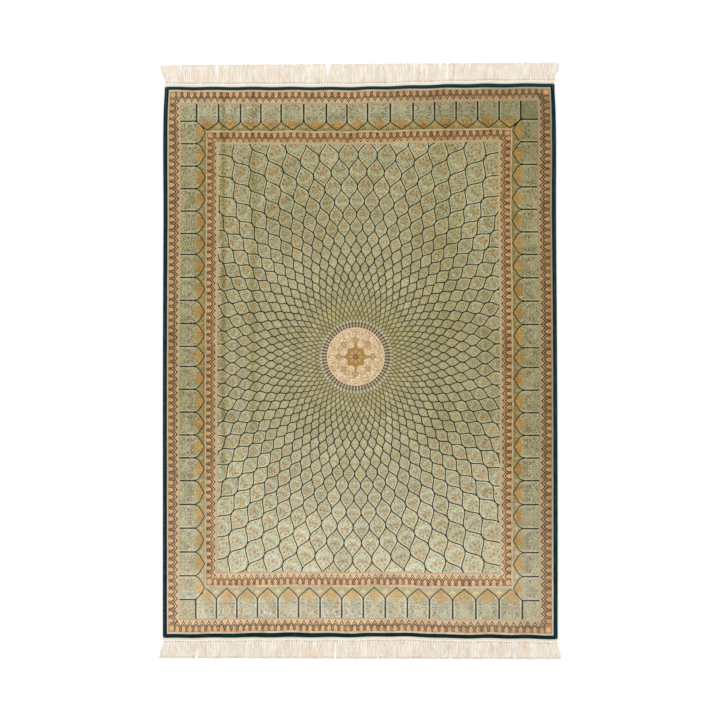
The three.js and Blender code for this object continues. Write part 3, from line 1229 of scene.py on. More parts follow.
def archSilk():
    material, root = newMaterial("archSilk")
    at = archPlace(root)
    up, beside, sheenLit = at["up"], at["besideJoin"], at["sheenLit"]
    overArch, steep, spring = archCurve(at)

    # pale rims and dark lines: uprights, arches and the mitre of the corners
    rimUp = within(beside, 3.6, 6.6, 1.4) * below(up, spring + 6, 4)
    rimArch = within(-overArch / steep, 2.6, 5.2, 1.4) * below(at["deep"], 0.76, 0.08)
    rim = larger(rimUp, rimArch) * below(at["past"], 0.0, 1.0)
    wide = choose(at["onSide"], *archLayout["lineHalf"]) * (1.25 - at["deep"] * 0.5)
    upright = below(beside, wide, 1.2) * below(up, spring + 2, 2)
    arches = below(sized(overArch) / steep, archLayout["lineArch"], 1.2) * above(up, spring - 3, 2)
    apart = sized(at["acrossPast"] - at["alongPast"])
    mitre = below(apart, 2.6, 1.8) * within(at["past"], -archLayout["mitre"], 1.0, 2.0)
    strokes = larger(larger(upright, arches), mitre)
    node = spot(beside, up - spring, 3.8, 4.6, 0.5)
    uneven = grainOf(at, 0.06, 13.0)[0]
    colour = dyed(
        archDyes, archHead(at, archBody(at)),
        (spandrelOf(at), above(overArch, 0.0, 1.2)),
        (cornerPanel(at), above(at["past"], 0.0, 1.0)),
        ("cream", rim * (uneven * 0.8)),
        # the lines painted paler and less dark where the painted sheen is
        (layer(archDyes["line"], archDyes["lineSheen"], sheenLit * 0.2), strokes),
        ("lineDark", larger(node, strokes * uneven) * (1.0 - sheenLit * 0.5)),
    )
    woven(root, colour, sheenShare=0.85)
    return material


# the field: rings of pointed cells that widen from the middle

cells = {
    "rowSum": (9.47, 10.25, 0.51, 0.82),  # rows counted outward, as a sum of powers of ln(radius)
    "inmostFrom": -0.45,  # ln(radius) under which the rows spread
    "inmostSpread": 0.885,
    "inmostTwist": 0.25,
    "lineHalf": 1.9,  # mm
    "lineSoft": 1.2,
    "rimNear": 2.6,
    "rimFar": 5.4,
    "mottleSize": 4.8,
    "vineSize": 9.0,
    "markedWide": 60.0,  # mm across a cell whose marks have their full size
    "roundFrom": 90.0,  # mm from the middle: lozenges there, rounder cells farther out
    "roundTo": 420.0,
}

cellDyes = {
    "ground": dye(160, 157, 112), "green": dye(138, 142, 95), "blue": dye(172, 184, 158),
    "olive": dye(98, 94, 52), "cream": dye(198, 190, 146), "tan": dye(184, 152, 98),
    "gold": dye(194, 158, 90), "mist": dye(164, 163, 116), "teal": dye(88, 100, 76),
    "dark": dye(62, 64, 42), "coral": dye(186, 112, 64), "coralPale": dye(196, 144, 98),
    "coralCore": dye(174, 86, 42), "rose": dye(158, 98, 80), "peach": dye(198, 148, 98),
    "line": dye(38, 46, 40), "lineDark": dye(16, 24, 25), "rim": dye(208, 202, 164),
}

# marks inside a cell, mirrored about its rib, as shares of the cell: beside, outward, then mm
cellMarks = [
    {"at": (0.2, 0.12), "half": (2.6, 2.6), "dye": "teal", "show": 0.75},
    {"at": (0.3, -0.1), "half": (2.8, 3.4), "dye": "blue", "show": 0.7},
    {"at": (0.13, -0.22), "half": (2.8, 3.0), "dye": "blue", "show": 0.7},
    {"at": (0.26, 0.3), "half": (3.0, 2.6), "dye": "tan", "show": 0.7},
    {"at": (0.0, -0.16), "half": (2.6, 3.4), "dye": "cream", "show": 0.7},
    {"at": (0.17, -0.38), "half": (2.6, 2.6), "dye": "olive", "show": 0.7},
    {"at": (0.12, 0.36), "half": (2.6, 2.2), "dye": "olive", "show": 0.7},
    {"at": (0.36, 0.08), "half": (2.2, 3.2), "dye": "cream", "show": 0.6},
]


def cellPlace(root):
    across, along = parts(attribute(root, "dome"))[:2]
    radius = larger(rootOf(across * across + along * along), 1.0)
    angle = across.maths("ARCTAN2", across, along)
    turn = angle * (dome["ribs"] / (2 * math.pi)) + dome["turn"]
    level = radius.maths("LOGARITHM", radius / dome["ringRadius"], math.e)
    first, second, third, fourth = cells["rowSum"]
    spread = larger(cells["inmostFrom"] - level, 0.0) * cells["inmostSpread"]
    turn = turn + spread * cells["inmostTwist"]
    rows = ((level * fourth + third) * level + second) * level + first + spread
    rowRate = (level * (3 * fourth) + 2 * third) * level + second
    rowRate = rowRate - isUnder(level, cells["inmostFrom"]) * cells["inmostSpread"]
    wide = radius * (2 * math.pi / dome["ribs"])  # mm across a cell
    tall = radius / rowRate  # mm from row to row

    row = floorOf(rows)
    part = rows - row
    # half the width of a cell, from its widest place to its point: straight near the middle of the
    # rug, and flat, steep, flat again farther out
    rounded = (radius - cells["roundFrom"]) / (cells["roundTo"] - cells["roundFrom"])
    rounded = power(smaller(larger(rounded, 0.0), 1.0), 0.5) * 0.85
    curved = part * part * part * ((part * 6.0 - 15.0) * part + 10.0)
    half = 0.5 - choose(rounded, part, curved) * 0.5
    beside = sized(wrapped(turn - wrapped(row, 2.0) * 0.5 + 0.5) - 0.5)
    ownRow = row + 1.0 - isUnder(beside, half)
    ownTurn = turn - wrapped(ownRow, 2.0) * 0.5 + 0.5
    number = floorOf(ownTurn)

    # distance to the nearest line, measured square to it
    gap = smaller(sized(beside - half), sized(1.0 - beside - half))
    lean = choose(rounded, 0.5, part * part * (1.0 - part) * (1.0 - part) * 15.0)
    steep = rootOf(1.0 / (wide * wide) + lean * lean / (tall * tall))
    return {
        "across": across,
        "along": along,
        "radius": radius,
        "wide": wide,
        "tall": tall,
        "row": ownRow,
        "number": wrapped(number, float(dome["ribs"])),
        "aside": sized(ownTurn - number - 0.5),
        "outward": rows - ownRow,
        "lineGap": gap / steep,
    }


def cellDrawing(root, place, seed, sheenLit):
    # the ground of a cell with its marks and its floret
    dyes, wide = cellDyes, place["wide"]
    aside, outward = place["aside"] * wide, place["outward"] * place["tall"]
    turn = place["row"] * 3.7
    leaf = mottle(aside / cells["mottleSize"], outward / cells["mottleSize"], turn)
    vine = mottle(aside / cells["vineSize"], outward / cells["vineSize"], turn + 50.0, detail=0.0)
    loose = grainOf(place, 0.18, 5.0)
    speck = grainOf(place, 0.22, 9.0)
    cloud = grainOf(place, 0.07, 31.0)
    # painted sheen: the marks painted fainter where it is
    calm = 1.0 - sheenLit * 0.45
    colour = dyed(
        dyes, "ground",
        ("green", above(loose[0], 0.5, 0.1) * 0.75),
        ("tan", above(cloud[0], 0.53, 0.12) * 0.3),
        ("blue", above(cloud[1], 0.54, 0.12) * 0.3),
        ("blue", above(leaf[1], 0.54, 0.08) * calm * 0.5),
        ("cream", above(loose[1], 0.55, 0.07) * calm * 0.7),
        ("olive", above(leaf[2], 0.55, 0.07) * calm * 0.75),
        ("tan", above(loose[2], 0.56, 0.07) * 0.7),
        ("dark", above(speck[0], 0.6, 0.05) * calm * 0.6),
        ("blue", above(speck[1], 0.61, 0.05) * calm * 0.65),
        ("peach", above(speck[2], 0.63, 0.05) * calm * 0.7),
        ("olive", below(sized(vine[0] - 0.5), 0.018, 0.03) * 0.5),
        ("cream", below(sized(vine[1] - 0.5), 0.016, 0.03) * 0.5),
    )

    # the marks grow with the cells
    size = smaller(larger(wide / cells["markedWide"], 0.35), 1.1)
    show = above(wide, 34.0, 24.0)
    for mark in cellMarks:
        sideways = (place["aside"] - mark["at"][0]) * wide / size
        upward = (place["outward"] - mark["at"][1]) * place["tall"] / size
        shape = spot(sideways, upward, *mark["half"], 0.8)
        colour = layer(colour, dyes[mark["dye"]], shape * show * mark["show"])

    # the floret in the middle, its bud towards the outer point and a spot towards the inner one
    sideways = aside / size
    heights = (0.1, 0.56, -0.6)  # shares of the cell
    fromFloret, fromBud, fromTip = ((place["outward"] - up) * place["tall"] / size for up in heights)
    floret = spot(sideways, fromFloret, 4.6, 4.6, 0.6) * (show * 0.5 + 0.4) * above(wide, 22.0, 10.0)
    floretDye = dyed(
        dyes, "coral",
        ("coralPale", seed[0]),
        # painted sheen: the floret painted rose where it is
        ("coralCore", spot(sideways, fromFloret, 2.0, 2.0, 0.9) * seed[1]),
        ("rose", sheenLit * 0.8),
    )
    return dyed(
        dyes, colour,
        ("teal", spot(sideways, fromFloret, 7.0, 7.0, 0.8) * 0.25 * show),
        (floretDye, floret),
        ("coral", spot(sideways, fromBud, 2.6, 3.0, 0.8) * show * (seed[2] * 0.5 + 0.3)),
        ("peach", spot(sideways, fromTip, 2.8, 3.2, 0.8) * show * (seed[0] * 0.5 + 0.3)),
    )


def latticeColour(root, place):
    dyes, radius, wide, gap = cellDyes, place["radius"], place["wide"], place["lineGap"]
    seed = chance(place["number"], place["row"], 1.0)
    # painted sheen: the rims painted fainter and the lines darker where it is
    sheenLit = paintedSheenPart(root)

    # the inmost cells are pale, with golden middles
    middle = below(place["aside"] * 2.0 + sized(place["outward"]), 0.54, 0.5)
    golden = below(radius, 205.0, 70.0) * above(radius, 131.0, 4.0)
    colour = dyed(
        dyes, cellDrawing(root, place, seed, sheenLit),
        ("mist", below(radius, 190.0, 100.0) * 0.55),
        ("gold", middle * golden * (seed[0] * 0.4 + 0.28)),
        ("rim", below(radius, 131.0, 5.0) * 0.48),
        ("cream", within(wide, 23.0, 40.0, 10.0) * 0.16),
    )

    # each cell was knotted from its own batch of silk
    shade = seed[0] * 0.16 + seed[1] * 0.06 + 0.89
    colour = tinted(colour, shade, shade + (seed[2] - 0.5) * 0.03, shade + (seed[2] - 0.5) * 0.1)

    # pale rim, then the dark line
    uneven = grainOf(place, 0.05, 17.0)
    rim = within(gap, cells["rimNear"], cells["rimFar"], 1.4) * above(wide, 42.0, 26.0)
    rim = rim * (1.0 - sheenLit * 0.5)
    line = below(gap, smaller(wide * 0.048 + 0.35, cells["lineHalf"]), cells["lineSoft"])
    join = above(sized(place["outward"]), 0.66, 0.2)
    lineDye = dyed(
        dyes, "line",
        ("lineDark", above(uneven[0], 0.46, 0.2)),
        ("lineDark", larger(join * 0.6, sheenLit * 0.7)),
    )
    return dyed(
        dyes, colour,
        ("rim", rim * (above(uneven[1], 0.5, 0.2) * 0.6 + 0.12)),
        (lineDye, line * (above(uneven[2], 0.36, 0.16) * 0.2 + 0.79)),
    )


def fieldSilk():
    material, root = newMaterial("fieldSilk")
    woven(root, latticeColour(root, cellPlace(root)))
    return material


# the medallion at the middle

medallion = {
    "disc": 100.6,  # mm
    "blockIn": 107.4,  # the two rings of blocks round it
    "blockOut": 117.0,
    "blockPitch": 10.8,
    "reach": 122.2,
    "starPoint": 47.0,
    "starSquare": 28.5,
    "starWaist": 14.0,
    "blooms": 61.4,
    "bloomHalf": (12.5, 14.0),  # over the points of the star, and between them
    "lobe": (43.0, 17.0),
    "heart": 10.5,
}

medallionDyes = {
    "cream": dye(204, 173, 124), "creamPale": dye(224, 199, 154), "white": dye(244, 228, 196),
    "tan": dye(174, 132, 80), "pink": dye(186, 155, 121), "brown": dye(150, 106, 58),
    "star": dye(162, 126, 64), "starLight": dye(182, 146, 84), "starEdge": dye(134, 100, 42),
    "petal": dye(210, 182, 146), "heart": dye(144, 96, 66), "leaf": dye(170, 172, 132),
    "bloomRim": dye(168, 124, 64), "block": dye(72, 61, 47), "blockPale": dye(104, 92, 72),
    "gap": dye(206, 188, 156),
}


def medallionPlace(place):
    # the medallion is mirrored eight ways: ahead and aside are alike in every eighth of it
    across = place["across"] + dome["medallionShift"][0]
    along = place["along"] + dome["medallionShift"][1]
    wideway, longway = sized(across), sized(along)
    ahead, aside = larger(wideway, longway), smaller(wideway, longway)
    turned = math.sqrt(0.5)
    return {
        "angle": across.maths("ARCTAN2", across, along),
        "radius": rootOf(across * across + along * along),
        "ahead": ahead,
        "aside": aside,
        "rays": ((ahead, aside), ((ahead + aside) * turned, (ahead - aside) * turned)),
        "loose": mottle(across * 0.26, along * 0.26, 23.0),
    }


def medallionDisc(at):
    # fine scrolls, most of them mirrored
    dyes, sizes = medallionDyes, medallion
    ahead, aside, radius, loose = at["ahead"], at["aside"], at["radius"], at["loose"]
    fine = mottle(ahead * 0.24, aside * 0.24, 21.0)
    scroll = mottle(ahead * 0.16, aside * 0.16, 25.0, detail=0.0)
    lobeAhead, lobeAside = ahead - sizes["lobe"][0], aside - sizes["lobe"][1]
    lobe = rootOf(lobeAhead * lobeAhead + lobeAside * lobeAside)
    colour = dyed(
        dyes, "cream",
        ("pink", above(radius, 86.0, 10.0) * 0.75),
        ("tan", spot(ahead - 62, aside - 30, 10.0, 9.0, 0.8) * 0.4),
        ("pink", spot(ahead - 85, aside - 28, 8.0, 10.0, 0.7) * 0.7),
        ("creamPale", below(sized(radius - 76.0), 4.0, 4.0) * 0.6),
        ("tan", above(fine[0], 0.52, 0.06) * 0.7),
        ("tan", below(sized(scroll[0] - 0.5), 0.034, 0.024) * 0.85),
        ("creamPale", above(fine[1], 0.52, 0.06) * 0.8),
        ("tan", above(loose[0], 0.54, 0.06) * 0.7),
        ("white", below(sized(scroll[1] - 0.5), 0.025, 0.03) * 0.75),
        ("white", above(loose[1], 0.545, 0.05) * 0.85),
        ("brown", above(loose[2], 0.58, 0.05) * 0.75),
        ("creamPale", above(radius, sizes["disc"] - 2.0, 1.0) * 0.7),
        # pairs of pale lobes between the blooms, and pale clouds beyond them
        ("creamPale", below(lobe, 14.0, 2.5) * 0.2),
        ("white", below(sized(lobe - 5.5), 1.2, 1.6) * 0.35),
        ("tan", below(sized(lobe - 14.6), 1.0, 1.4) * 0.5),
        ("white", spot(ahead - 62, aside - 55, 7.0, 8.0, 0.7) * 0.15),
    )
    for (forward, sideways), half in zip(at["rays"], sizes["bloomHalf"]):
        apart = forward - sizes["blooms"]
        colour = dyed(
            dyes, colour,
            ("bloomRim", diamond(sideways, sized(apart), half, half, 0.4) * 0.75),
            ("tan", diamond(sideways, sized(apart - 5), 5.0, 5.0, 0.5) * 0.6),
            ("leaf", spot(sideways, apart, 5.6, 5.6, 0.6) * 0.9),
        )
    return layer(colour, dyes["starEdge"], below(aside, 1.5, 1.4) * within(ahead, 42.0, 54.0, 3.0))


def medallionStar(at, colour):
    # a square with four long points, eight petals on it and a round heart
    dyes, sizes = medallionDyes, medallion
    ahead, aside, radius = at["ahead"], at["aside"], at["radius"]
    slantAhead, slantAside = at["rays"][1]
    waist = power(larger(1.0 - aside / sizes["starWaist"], 0.0), 1.6)
    edge = waist * (sizes["starPoint"] - sizes["starSquare"]) + sizes["starSquare"]
    star = dyed(
        dyes, "star",
        ("starLight", above(at["loose"][2], 0.52, 0.1) * 0.6),
        ("starEdge", above(ahead, edge - 3.0, 2.0) * 0.7),
        ("leaf", spot(aside, ahead - 35, 2.2, 4.0, 0.7) * 0.3),
        ("leaf", spot(slantAside, slantAhead - 31, 2.6, 2.8, 0.7) * 0.35),
    )
    colour = layer(colour, star, below(ahead, edge, 1.6))
    for forward, sideways in at["rays"]:
        stem = spot(sideways, forward - 15.5, 2.0, 6.0, 0.6)
        broadEnd = spot(sideways, forward - 20, 4.2, 2.0, 0.6)
        colour = layer(colour, dyes["petal"], larger(stem, broadEnd) * 0.7)
    return dyed(
        dyes, colour,
        ("heart", below(radius, sizes["heart"], 3.0) * 0.95),
        ("petal", below(radius, 2.4, 2.4) * 0.4),
    )


def medallionBlocks(at):
    # two rings of dark blocks on a pale ground
    dyes, sizes, radius = medallionDyes, medallion, at["radius"]
    sector = wrapped(at["angle"] * (dome["ribs"] / (2 * math.pi)) + 0.55) - 0.5
    beside = sized(sector) * sizes["blockPitch"]  # mm from the middle of a block
    inner = larger(beside / 3.7, sized(radius - sizes["blockIn"]) / 4.4)
    outer = larger(beside / 4.0, sized(radius - sizes["blockOut"]) / 4.3)
    block = layer(dyes["block"], dyes["blockPale"], above(at["loose"][1], 0.5, 0.1) * 0.6)
    colour = dyed(
        dyes, "gap",
        ("tan", above(at["loose"][0], 0.53, 0.1) * 0.4),
        (block, below(smaller(inner, outer), 1.0, 0.3) * 0.94),
    )
    return colour, beside


def medallionSilk():
    material, root = newMaterial("medallionSilk")
    place = cellPlace(root)
    at = medallionPlace(place)
    blocks, beside = medallionBlocks(at)
    disc = medallionStar(at, medallionDisc(at))
    scallop = medallion["disc"] + larger(2.6 - beside, 0.0)
    inner = layer(blocks, disc, below(at["radius"], scallop, 1.4))
    woven(root, layer(latticeColour(root, place), inner, below(at["radius"], medallion["reach"], 2.0)))
    return material


# plain cloth and yarn outside the pile


def newCloth(name):  # a material, and the place of a point of its own piece in m
    material, root = newMaterial(name)
    return material, root, parts(root.node("ShaderNodeTexCoord", None, None, output="Object"))


def cordSilk():
    material, root, place = newCloth("cordSilk")
    patches = mottle(place[0] * 60.0, place[1] * 25.0, place[2] * 60.0, detail=2.0)
    thread = mottle(place[0] * 300.0, place[1] * 1400.0, place[2] * 300.0)
    colour = layer(dye(14, 54, 57), dye(9, 40, 44), above(patches[0], 0.48, 0.14))
    colour = layer(colour, dye(24, 68, 70), above(thread[0], 0.58, 0.12) * 0.5)
    relief = {"Strength": 0.4, "Distance": 0.3 * mm, "Height": thread[1]}
    finish(root, colour, thread[2] * 0.2 + 0.65, relief, sheen=0.0, specular=0.04)
    return material


def kilimSilk():
    material, root, place = newCloth("kilimSilk")
    patches = mottle(place[0] * 14.0, place[1] * 30.0, 1.0, detail=2.0)
    thread = mottle(place[0] * 900.0, place[1] * 500.0, 3.0)
    colour = layer(dye(250, 237, 215), dye(242, 228, 202), above(patches[0], 0.5, 0.2))
    colour = layer(colour, dye(226, 208, 182), above(thread[0], 0.6, 0.1) * 0.4)
    relief = {"Strength": 0.35, "Distance": 0.3 * mm, "Height": thread[1]}
    finish(root, colour, thread[2] * 0.2 + 0.65, relief)
    return material


def fringeSilk():
    material, root, place = newCloth("fringeSilk")
    tint = attribute(root, "tint", output="Fac")
    gain = studio["yarnGain"]
    patches = mottle(place[0] * 45.0, place[1] * 22.0, 1.0, detail=2.0)
    thread = mottle(place[0] * 1500.0, place[1] * 160.0, place[2] * 900.0)
    dyes = {
        "light": dye(255, 246, 232, gain), "warm": dye(249, 234, 214, gain),
        "white": dye(255, 250, 240, gain), "tan": dye(242, 222, 196, gain),
        "paintedShadow": dye(184, 156, 128, gain),
    }
    colour = dyed(
        dyes, "light",
        ("warm", tint),
        ("white", above(patches[0], 0.54, 0.14) * 0.6),
        ("tan", above(patches[1], 0.58, 0.12) * 0.5),
        # painted shadow on the strips between the tassels
        ("paintedShadow", above(tint, 1.6, 1.0) * 0.85),
    )
    relief = {"Strength": 0.3, "Distance": 0.2 * mm, "Height": thread[1]}
    finish(root, colour, thread[2] * 0.2 + 0.6, relief)
    return material


def addPiece(name, points, faces, material):
    mesh = bpy.data.meshes.new(name)
    mesh.from_pydata([tuple(p) for p in points], [], [tuple(int(i) for i in f) for f in faces])
    mesh.materials.append(material)
    mesh.polygons.foreach_set("use_smooth", np.ones(len(mesh.polygons), bool))
    mesh.update()
    piece = bpy.data.objects.new(name, mesh)
    bpy.context.scene.collection.objects.link(piece)
    return piece


# the cords overcast along the sides

overcast = {
    "width": 6.6 * mm,
    "thick": 5.4 * mm,
    "gap": 0.3 * mm,
    "wrap": 2.6 * mm,  # from one turn of the thread to the next
    "slant": 2.2 * mm,
    "swell": 0.32 * mm,
    "sides": 12,
    "ringsPerWrap": 4,
    "squareness": 3,
    "underside": 0.1 * mm,
    "endGap": 0.4 * mm,  # short of the end of the pile
    "endTaper": 2 * mm,  # over which it thins to its end
    "endSize": 0.55,
}


def makeCord(name, edge, inward, material):
    low = bottomEdge(edge(-0.98)) + overcast["endGap"]
    high = topEdge(edge(0.98)) - overcast["endGap"]
    step = overcast["wrap"] / overcast["ringsPerWrap"]
    rings = int((high - low) / step)
    sides = overcast["sides"]
    y = np.linspace(low, high, rings + 1)[:, None]
    turn = (np.arange(sides) / sides * 2 * math.pi)[None, :]
    slanted = y + overcast["slant"] * np.cos(turn) / 2
    swell = overcast["swell"] * np.cos(2 * math.pi * slanted / overcast["wrap"])
    end = np.clip(np.minimum(y - low, high - y) / overcast["endTaper"], 0, 1) ** 0.5
    taper = overcast["endSize"] + (1 - overcast["endSize"]) * end
    halfWide = (overcast["width"] / 2 - overcast["swell"] + swell) * taper
    halfHigh = (overcast["thick"] / 2 - overcast["swell"] + swell) * taper
    square = overcast["squareness"]
    fuller = (np.abs(np.cos(turn)) ** square + np.abs(np.sin(turn)) ** square) ** (-1 / square)
    middle = edge(y) - inward * (overcast["gap"] + overcast["width"] / 2)
    x = middle + halfWide * np.cos(turn) * fuller
    z = overcast["thick"] / 2 + overcast["underside"] + halfHigh * np.sin(turn) * fuller
    points = np.stack([x, y + 0 * x, z], -1).reshape(-1, 3)
    ring = np.arange(sides)
    faces = []
    for level in range(rings):
        here, there = level * sides + ring, (level + 1) * sides + ring
        faces += np.stack([here, there, np.roll(there, -1), np.roll(here, -1)], -1).tolist()
    faces.append(list(range(sides)))
    faces.append([rings * sides + k for k in range(sides - 1, -1, -1)])
    piece = addPiece(name, points, faces, material)
    print(name, len(faces) * 2, "triangles")
    return piece


# the strips of plain weave at the ends

kilim = {
    "gap": 0.3 * mm,
    "width": 7.0 * mm,
    "thick": 1.4 * mm,
    "rib": 2.0 * mm,  # from one warp pair to the next
    "relief": 0.22 * mm,
    "stepsPerRib": 3,
    "rows": 9,
    "underside": 0.2 * mm,
    "pastPile": 6.2 * mm,  # at each side
}


def makeKilim(name, edge, outward, material):
    left, right = leftEdge(edge(0.0)) - kilim["pastPile"], rightEdge(edge(0.0)) + kilim["pastPile"]
    columns = int((right - left) / (kilim["rib"] / kilim["stepsPerRib"]))
    x = np.linspace(left, right, columns + 1)[None, :]
    rows = kilim["rows"]
    part = np.linspace(0, 1, rows)[:, None]
    y = edge(x) + outward * (kilim["gap"] + part * kilim["width"]) + 0 * x
    weave = np.cos(2 * math.pi * x / kilim["rib"]) * np.cos(math.pi * part * (rows - 1) / 2)
    edgeFall = 1 - np.abs(2 * part - 1) ** 6
    top = (kilim["thick"] - kilim["relief"]) * (0.5 + 0.5 * edgeFall) + kilim["relief"] * weave * edgeFall
    bottom = np.full_like(top, kilim["underside"])
    count = rows * (columns + 1)
    points = np.concatenate([
        np.stack([x + 0 * y, y, top + 0 * y], -1).reshape(-1, 3),
        np.stack([x + 0 * y, y, bottom + 0 * y], -1).reshape(-1, 3),
    ])
    quads, rim = gridFaces(rows, columns + 1)
    if outward < 0:
        quads, rim = quads[:, ::-1], rim[::-1]
    faces = quads.tolist() + (quads[:, ::-1] + count).tolist()
    for here, there in zip(rim, np.roll(rim, -1)):
        faces.append([here, here + count, there + count, there])
    piece = addPiece(name, points, faces, material)
    print(name, len(faces) * 2, "triangles")
    return piece


# the fringe: knots in a row, and loose strands from each

fringe = {
    "tassels": 156,
    "strandsPerTassel": 11,
    "strandWidth": 1.5 * mm,
    "strandThick": 0.8 * mm,
    "segments": 7,
    "start": 7.6 * mm,  # from the edge of the pile to the knots
    "knotWidth": 7.6 * mm,
    "knotLength": 6.4 * mm,
    "knotHeight": 2.3 * mm,
    "knotRings": 7,
    "knotSides": 10,
    "knotEnd": 0.25,  # half width at its ends, as a share of the width in the middle
    "knotGroove": (0.16, 0.18),  # between its two turns: depth and width, as shares
    "knotSlant": 0.12,
    "underside": 0.15 * mm,
    "tipTaper": 0.55,
    "gapShadow": (4.4, 6.8, 9.2),  # mm from the start of the knots: a dark strip of painted shadow between two tassels
    "gapShadowWidth": 2.8 * mm,
    "gapShadowTint": 1.5,  # a tint past 1 is painted shadow
    "reach": 1062 * mm,
    "fan": 1.12,  # width of the fanned tips as a share of the spacing
    "pastPile": 6.3 * mm,  # at each side
    "leanSharpness": 14,  # how closely the outward lean keeps to the corners
    "sway": 2.6 * mm,
    "tipRagged": 2.4 * mm,
    "lowest": 0.55 * mm,
    # spreads of the random draws, in mm
    "tipSpread": 1.0,
    "bowSpread": 1.1,
    "waveSpread": 0.5,
    "lengthSpread": 1.2,
    "seed": 4,
    "ends": {
        "top": {"outward": 1, "lean": 20 * mm, "trimLeft": 9 * mm},
        "bottom": {"outward": -1, "lean": 14 * mm, "trimLeft": 4 * mm},
    },
    # where the fringe parts: m across, half width at the tips, share of the length that stays closed
    "partings": {
        "top": [
            (-0.638, 0.0035, 0.45), (-0.51, 0.003, 0.35), (-0.172, 0.0028, 0.35), (-0.116, 0.007, 0.3),
            (0.285, 0.004, 0.4),
        ],
        "bottom": [(-0.582, 0.004, 0.4), (0.321, 0.004, 0.35)],
    },
}


def tubeAlong(path, halfWide, halfThick, firstPoint):
    # a flattened tube round a path: points and faces
    points, faces = [], []
    for number, place in enumerate(path):
        taper = 1.0 if number < len(path) - 1 else fringe["tipTaper"]
        for across, up in ((1, 0), (0, 1), (-1, 0), (0, -1)):
            aside, higher = across * halfWide * taper, up * halfThick * taper
            points.append((place[0] + aside, place[1], place[2] + higher))
    for number in range(len(path) - 1):
        for side in range(4):
            here, beside = firstPoint + number * 4 + side, firstPoint + number * 4 + (side + 1) % 4
            faces.append((here, beside, beside + 4, here + 4))
    last = firstPoint + (len(path) - 1) * 4
    faces.append((firstPoint + 3, firstPoint + 2, firstPoint + 1, firstPoint))
    faces.append((last, last + 1, last + 2, last + 3))
    return points, faces


def knotAt(x, y, halfWide, halfLong, high, firstPoint):
    # a small flattened knot of two turns
    rings, sides = fringe["knotRings"], fringe["knotSides"]
    end, (deep, wide) = fringe["knotEnd"], fringe["knotGroove"]
    points, faces = [], []
    for ring in range(rings):
        along = -1 + 2 * ring / (rings - 1)
        body = math.sqrt(max(0.0, 1 - along**2)) * (1 - end) + end
        reach = body * (1 - deep * math.exp(-((along / wide) ** 2)))
        for side in range(sides):
            turn = 2 * math.pi * side / sides
            points.append((
                x + halfWide * reach * math.cos(turn),
                y + halfLong * along + fringe["knotSlant"] * halfLong * math.cos(turn),
                high / 2 * (1 + reach * math.sin(turn)) + fringe["underside"],
            ))
    for ring in range(rings - 1):
        for side in range(sides):
            here = firstPoint + ring * sides + side
            beside = firstPoint + ring * sides + (side + 1) % sides
            faces.append((here, here + sides, beside + sides, beside))
    faces.append(tuple(firstPoint + k for k in range(sides)))
    faces.append(tuple(firstPoint + (rings - 1) * sides + k for k in range(sides - 1, -1, -1)))
    return points, faces


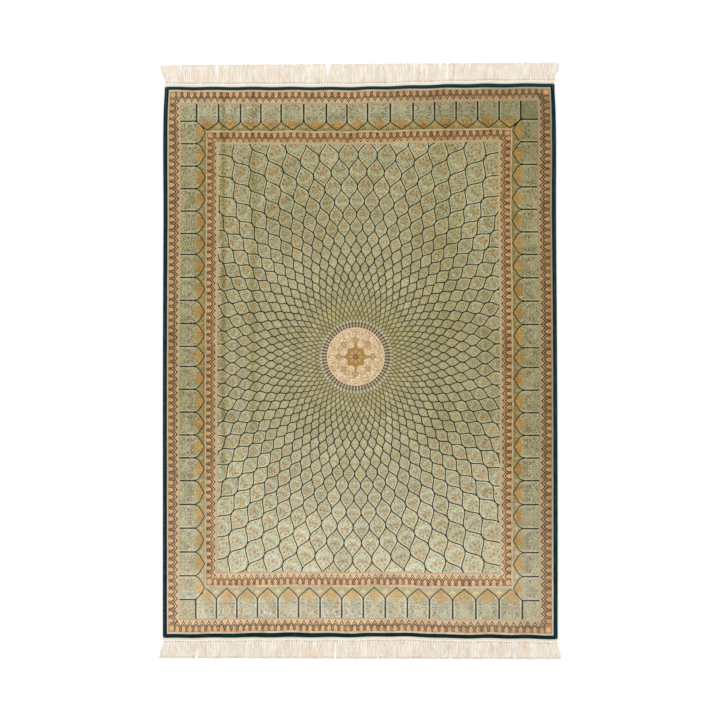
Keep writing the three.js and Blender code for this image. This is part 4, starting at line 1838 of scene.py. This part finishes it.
def makeFringe(name, side, edge, material):
    end = fringe["ends"][side]
    outward = end["outward"]
    draw = random.Random(fringe["seed"] + outward)
    left, right = leftEdge(edge(0.0)) - fringe["pastPile"], rightEdge(edge(0.0)) + fringe["pastPile"]
    pitch = (right - left) / fringe["tassels"]
    points, faces, tints = [], [], []

    def keep(made, tint):
        points.extend(made[0])
        faces.extend(made[1])
        tints.extend([tint] * len(made[0]))

    groupLean, groupLeft = 0.0, 0
    for index in range(fringe["tassels"]):
        across = (index + 0.5) / fringe["tassels"]
        root = left + across * (right - left)
        sideways = 2 * across - 1
        if groupLeft == 0:
            groupLean = draw.gauss(0, 1) * fringe["sway"]
            groupLeft = draw.randint(2, 6)
        groupLeft -= 1
        outLean = math.copysign(abs(sideways) ** fringe["leanSharpness"], sideways)
        lean = end["lean"] * outLean + groupLean * (1 - abs(sideways) ** 6)
        ragged = 0.5 + 0.3 * math.sin(index * 2.4) + 0.2 * math.sin(index * 0.9)
        tipReach = fringe["reach"] - end["trimLeft"] * (1 - across) - fringe["tipRagged"] * ragged
        start = edge(root) + outward * fringe["start"]
        knotMiddle = start + outward * fringe["knotLength"] / 2
        shift = draw.gauss(0, 0.25) * mm
        tasselTint = draw.random()
        keep(knotAt(root + shift, knotMiddle, fringe["knotWidth"] / 2 * draw.uniform(0.88, 1.04),
                    fringe["knotLength"] / 2, fringe["knotHeight"], len(points)), 0.25 + 0.4 * tasselTint)
        # a dark strip of painted shadow in the gap between this tassel and the next
        gapShadowX = root + pitch / 2 + shift
        gapShadow = [(gapShadowX, start + outward * place * mm, 0.5 * mm) for place in fringe["gapShadow"]]
        gapShadowTube = tubeAlong(gapShadow, fringe["gapShadowWidth"] / 2, 0.3 * mm, len(points))
        keep(gapShadowTube, fringe["gapShadowTint"] + tasselTint)
        for strand in range(fringe["strandsPerTassel"]):
            share = (strand + 0.5) / fringe["strandsPerTassel"] * 2 - 1
            rootX = root + share * fringe["knotWidth"] * 0.36
            tipX = root + lean + share * pitch * fringe["fan"] / 2 + draw.gauss(0, fringe["tipSpread"]) * mm
            bow = draw.gauss(0, fringe["bowSpread"]) * mm
            wave = draw.gauss(0, fringe["waveSpread"]) * mm
            height = draw.uniform(0.7, 2.1) * mm
            tipY = outward * (tipReach - abs(draw.gauss(0, fringe["lengthSpread"])) * mm)
            beginY = start + outward * fringe["knotLength"] * 0.7
            path = []
            for number in range(fringe["segments"] + 1):
                along = number / fringe["segments"]
                eased = along * along * (3 - 2 * along) * 0.5 + along * 0.5
                curl = bow * math.sin(math.pi * along) + wave * math.sin(2.6 * math.pi * along)
                px = rootX + (tipX - rootX) * eased + curl
                for centre, half, closed in fringe["partings"][side]:
                    far = px - centre
                    push = max(0.0, along - closed) / (1 - closed)
                    px += math.copysign(half * push * math.exp(-abs(far) / 0.012), far)
                pz = height + 0.2 * mm * math.sin(7 * along + strand)
                pz = max(fringe["lowest"], pz * (1 - 0.25 * along))
                path.append((px, beginY + (tipY - beginY) * along, pz))
            keep(tubeAlong(path, fringe["strandWidth"] / 2, fringe["strandThick"] / 2, len(points)),
                 min(1.0, max(0.0, 0.5 * tasselTint + 0.5 * draw.random())))
    if outward < 0:
        faces = [face[::-1] for face in faces]
    piece = addPiece(name, points, faces, material)
    made = piece.data.attributes.new("tint", "FLOAT", "POINT")
    made.data.foreach_set("value", np.array(tints, np.float32))
    print(name, sum(2 if len(f) == 4 else len(f) - 2 for f in faces), "triangles")
    return piece


# everything in order


def declare(piece, slot, *nodes):
    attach(piece, "root")
    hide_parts(*nodes)


addCamera()
floor = addFloorAndLight()
silkPile = makePile()
declare(silkPile, "silk_pile", "rug_pile")

cordMaterial = cordSilk()
cordLeft = makeCord("cordLeft", leftEdge, 1, cordMaterial)
declare(cordLeft, "side_cord", "selvedge_left")
cordRight = makeCord("cordRight", rightEdge, -1, cordMaterial)
declare(cordRight, "side_cord", "selvedge_right")

kilimMaterial = kilimSilk()
kilimTop = makeKilim("kilimTop", topEdge, 1, kilimMaterial)
declare(kilimTop, "kilim_weave", "kilim_end_top")
kilimBottom = makeKilim("kilimBottom", bottomEdge, -1, kilimMaterial)
declare(kilimBottom, "kilim_weave", "kilim_end_bottom")

fringeMaterial = fringeSilk()
fringeTop = makeFringe("fringeTop", "top", topEdge, fringeMaterial)
declare(fringeTop, "warp_fringe", "fringe_top")
fringeBottom = makeFringe("fringeBottom", "bottom", bottomEdge, fringeMaterial)
declare(fringeBottom, "warp_fringe", "fringe_bottom")
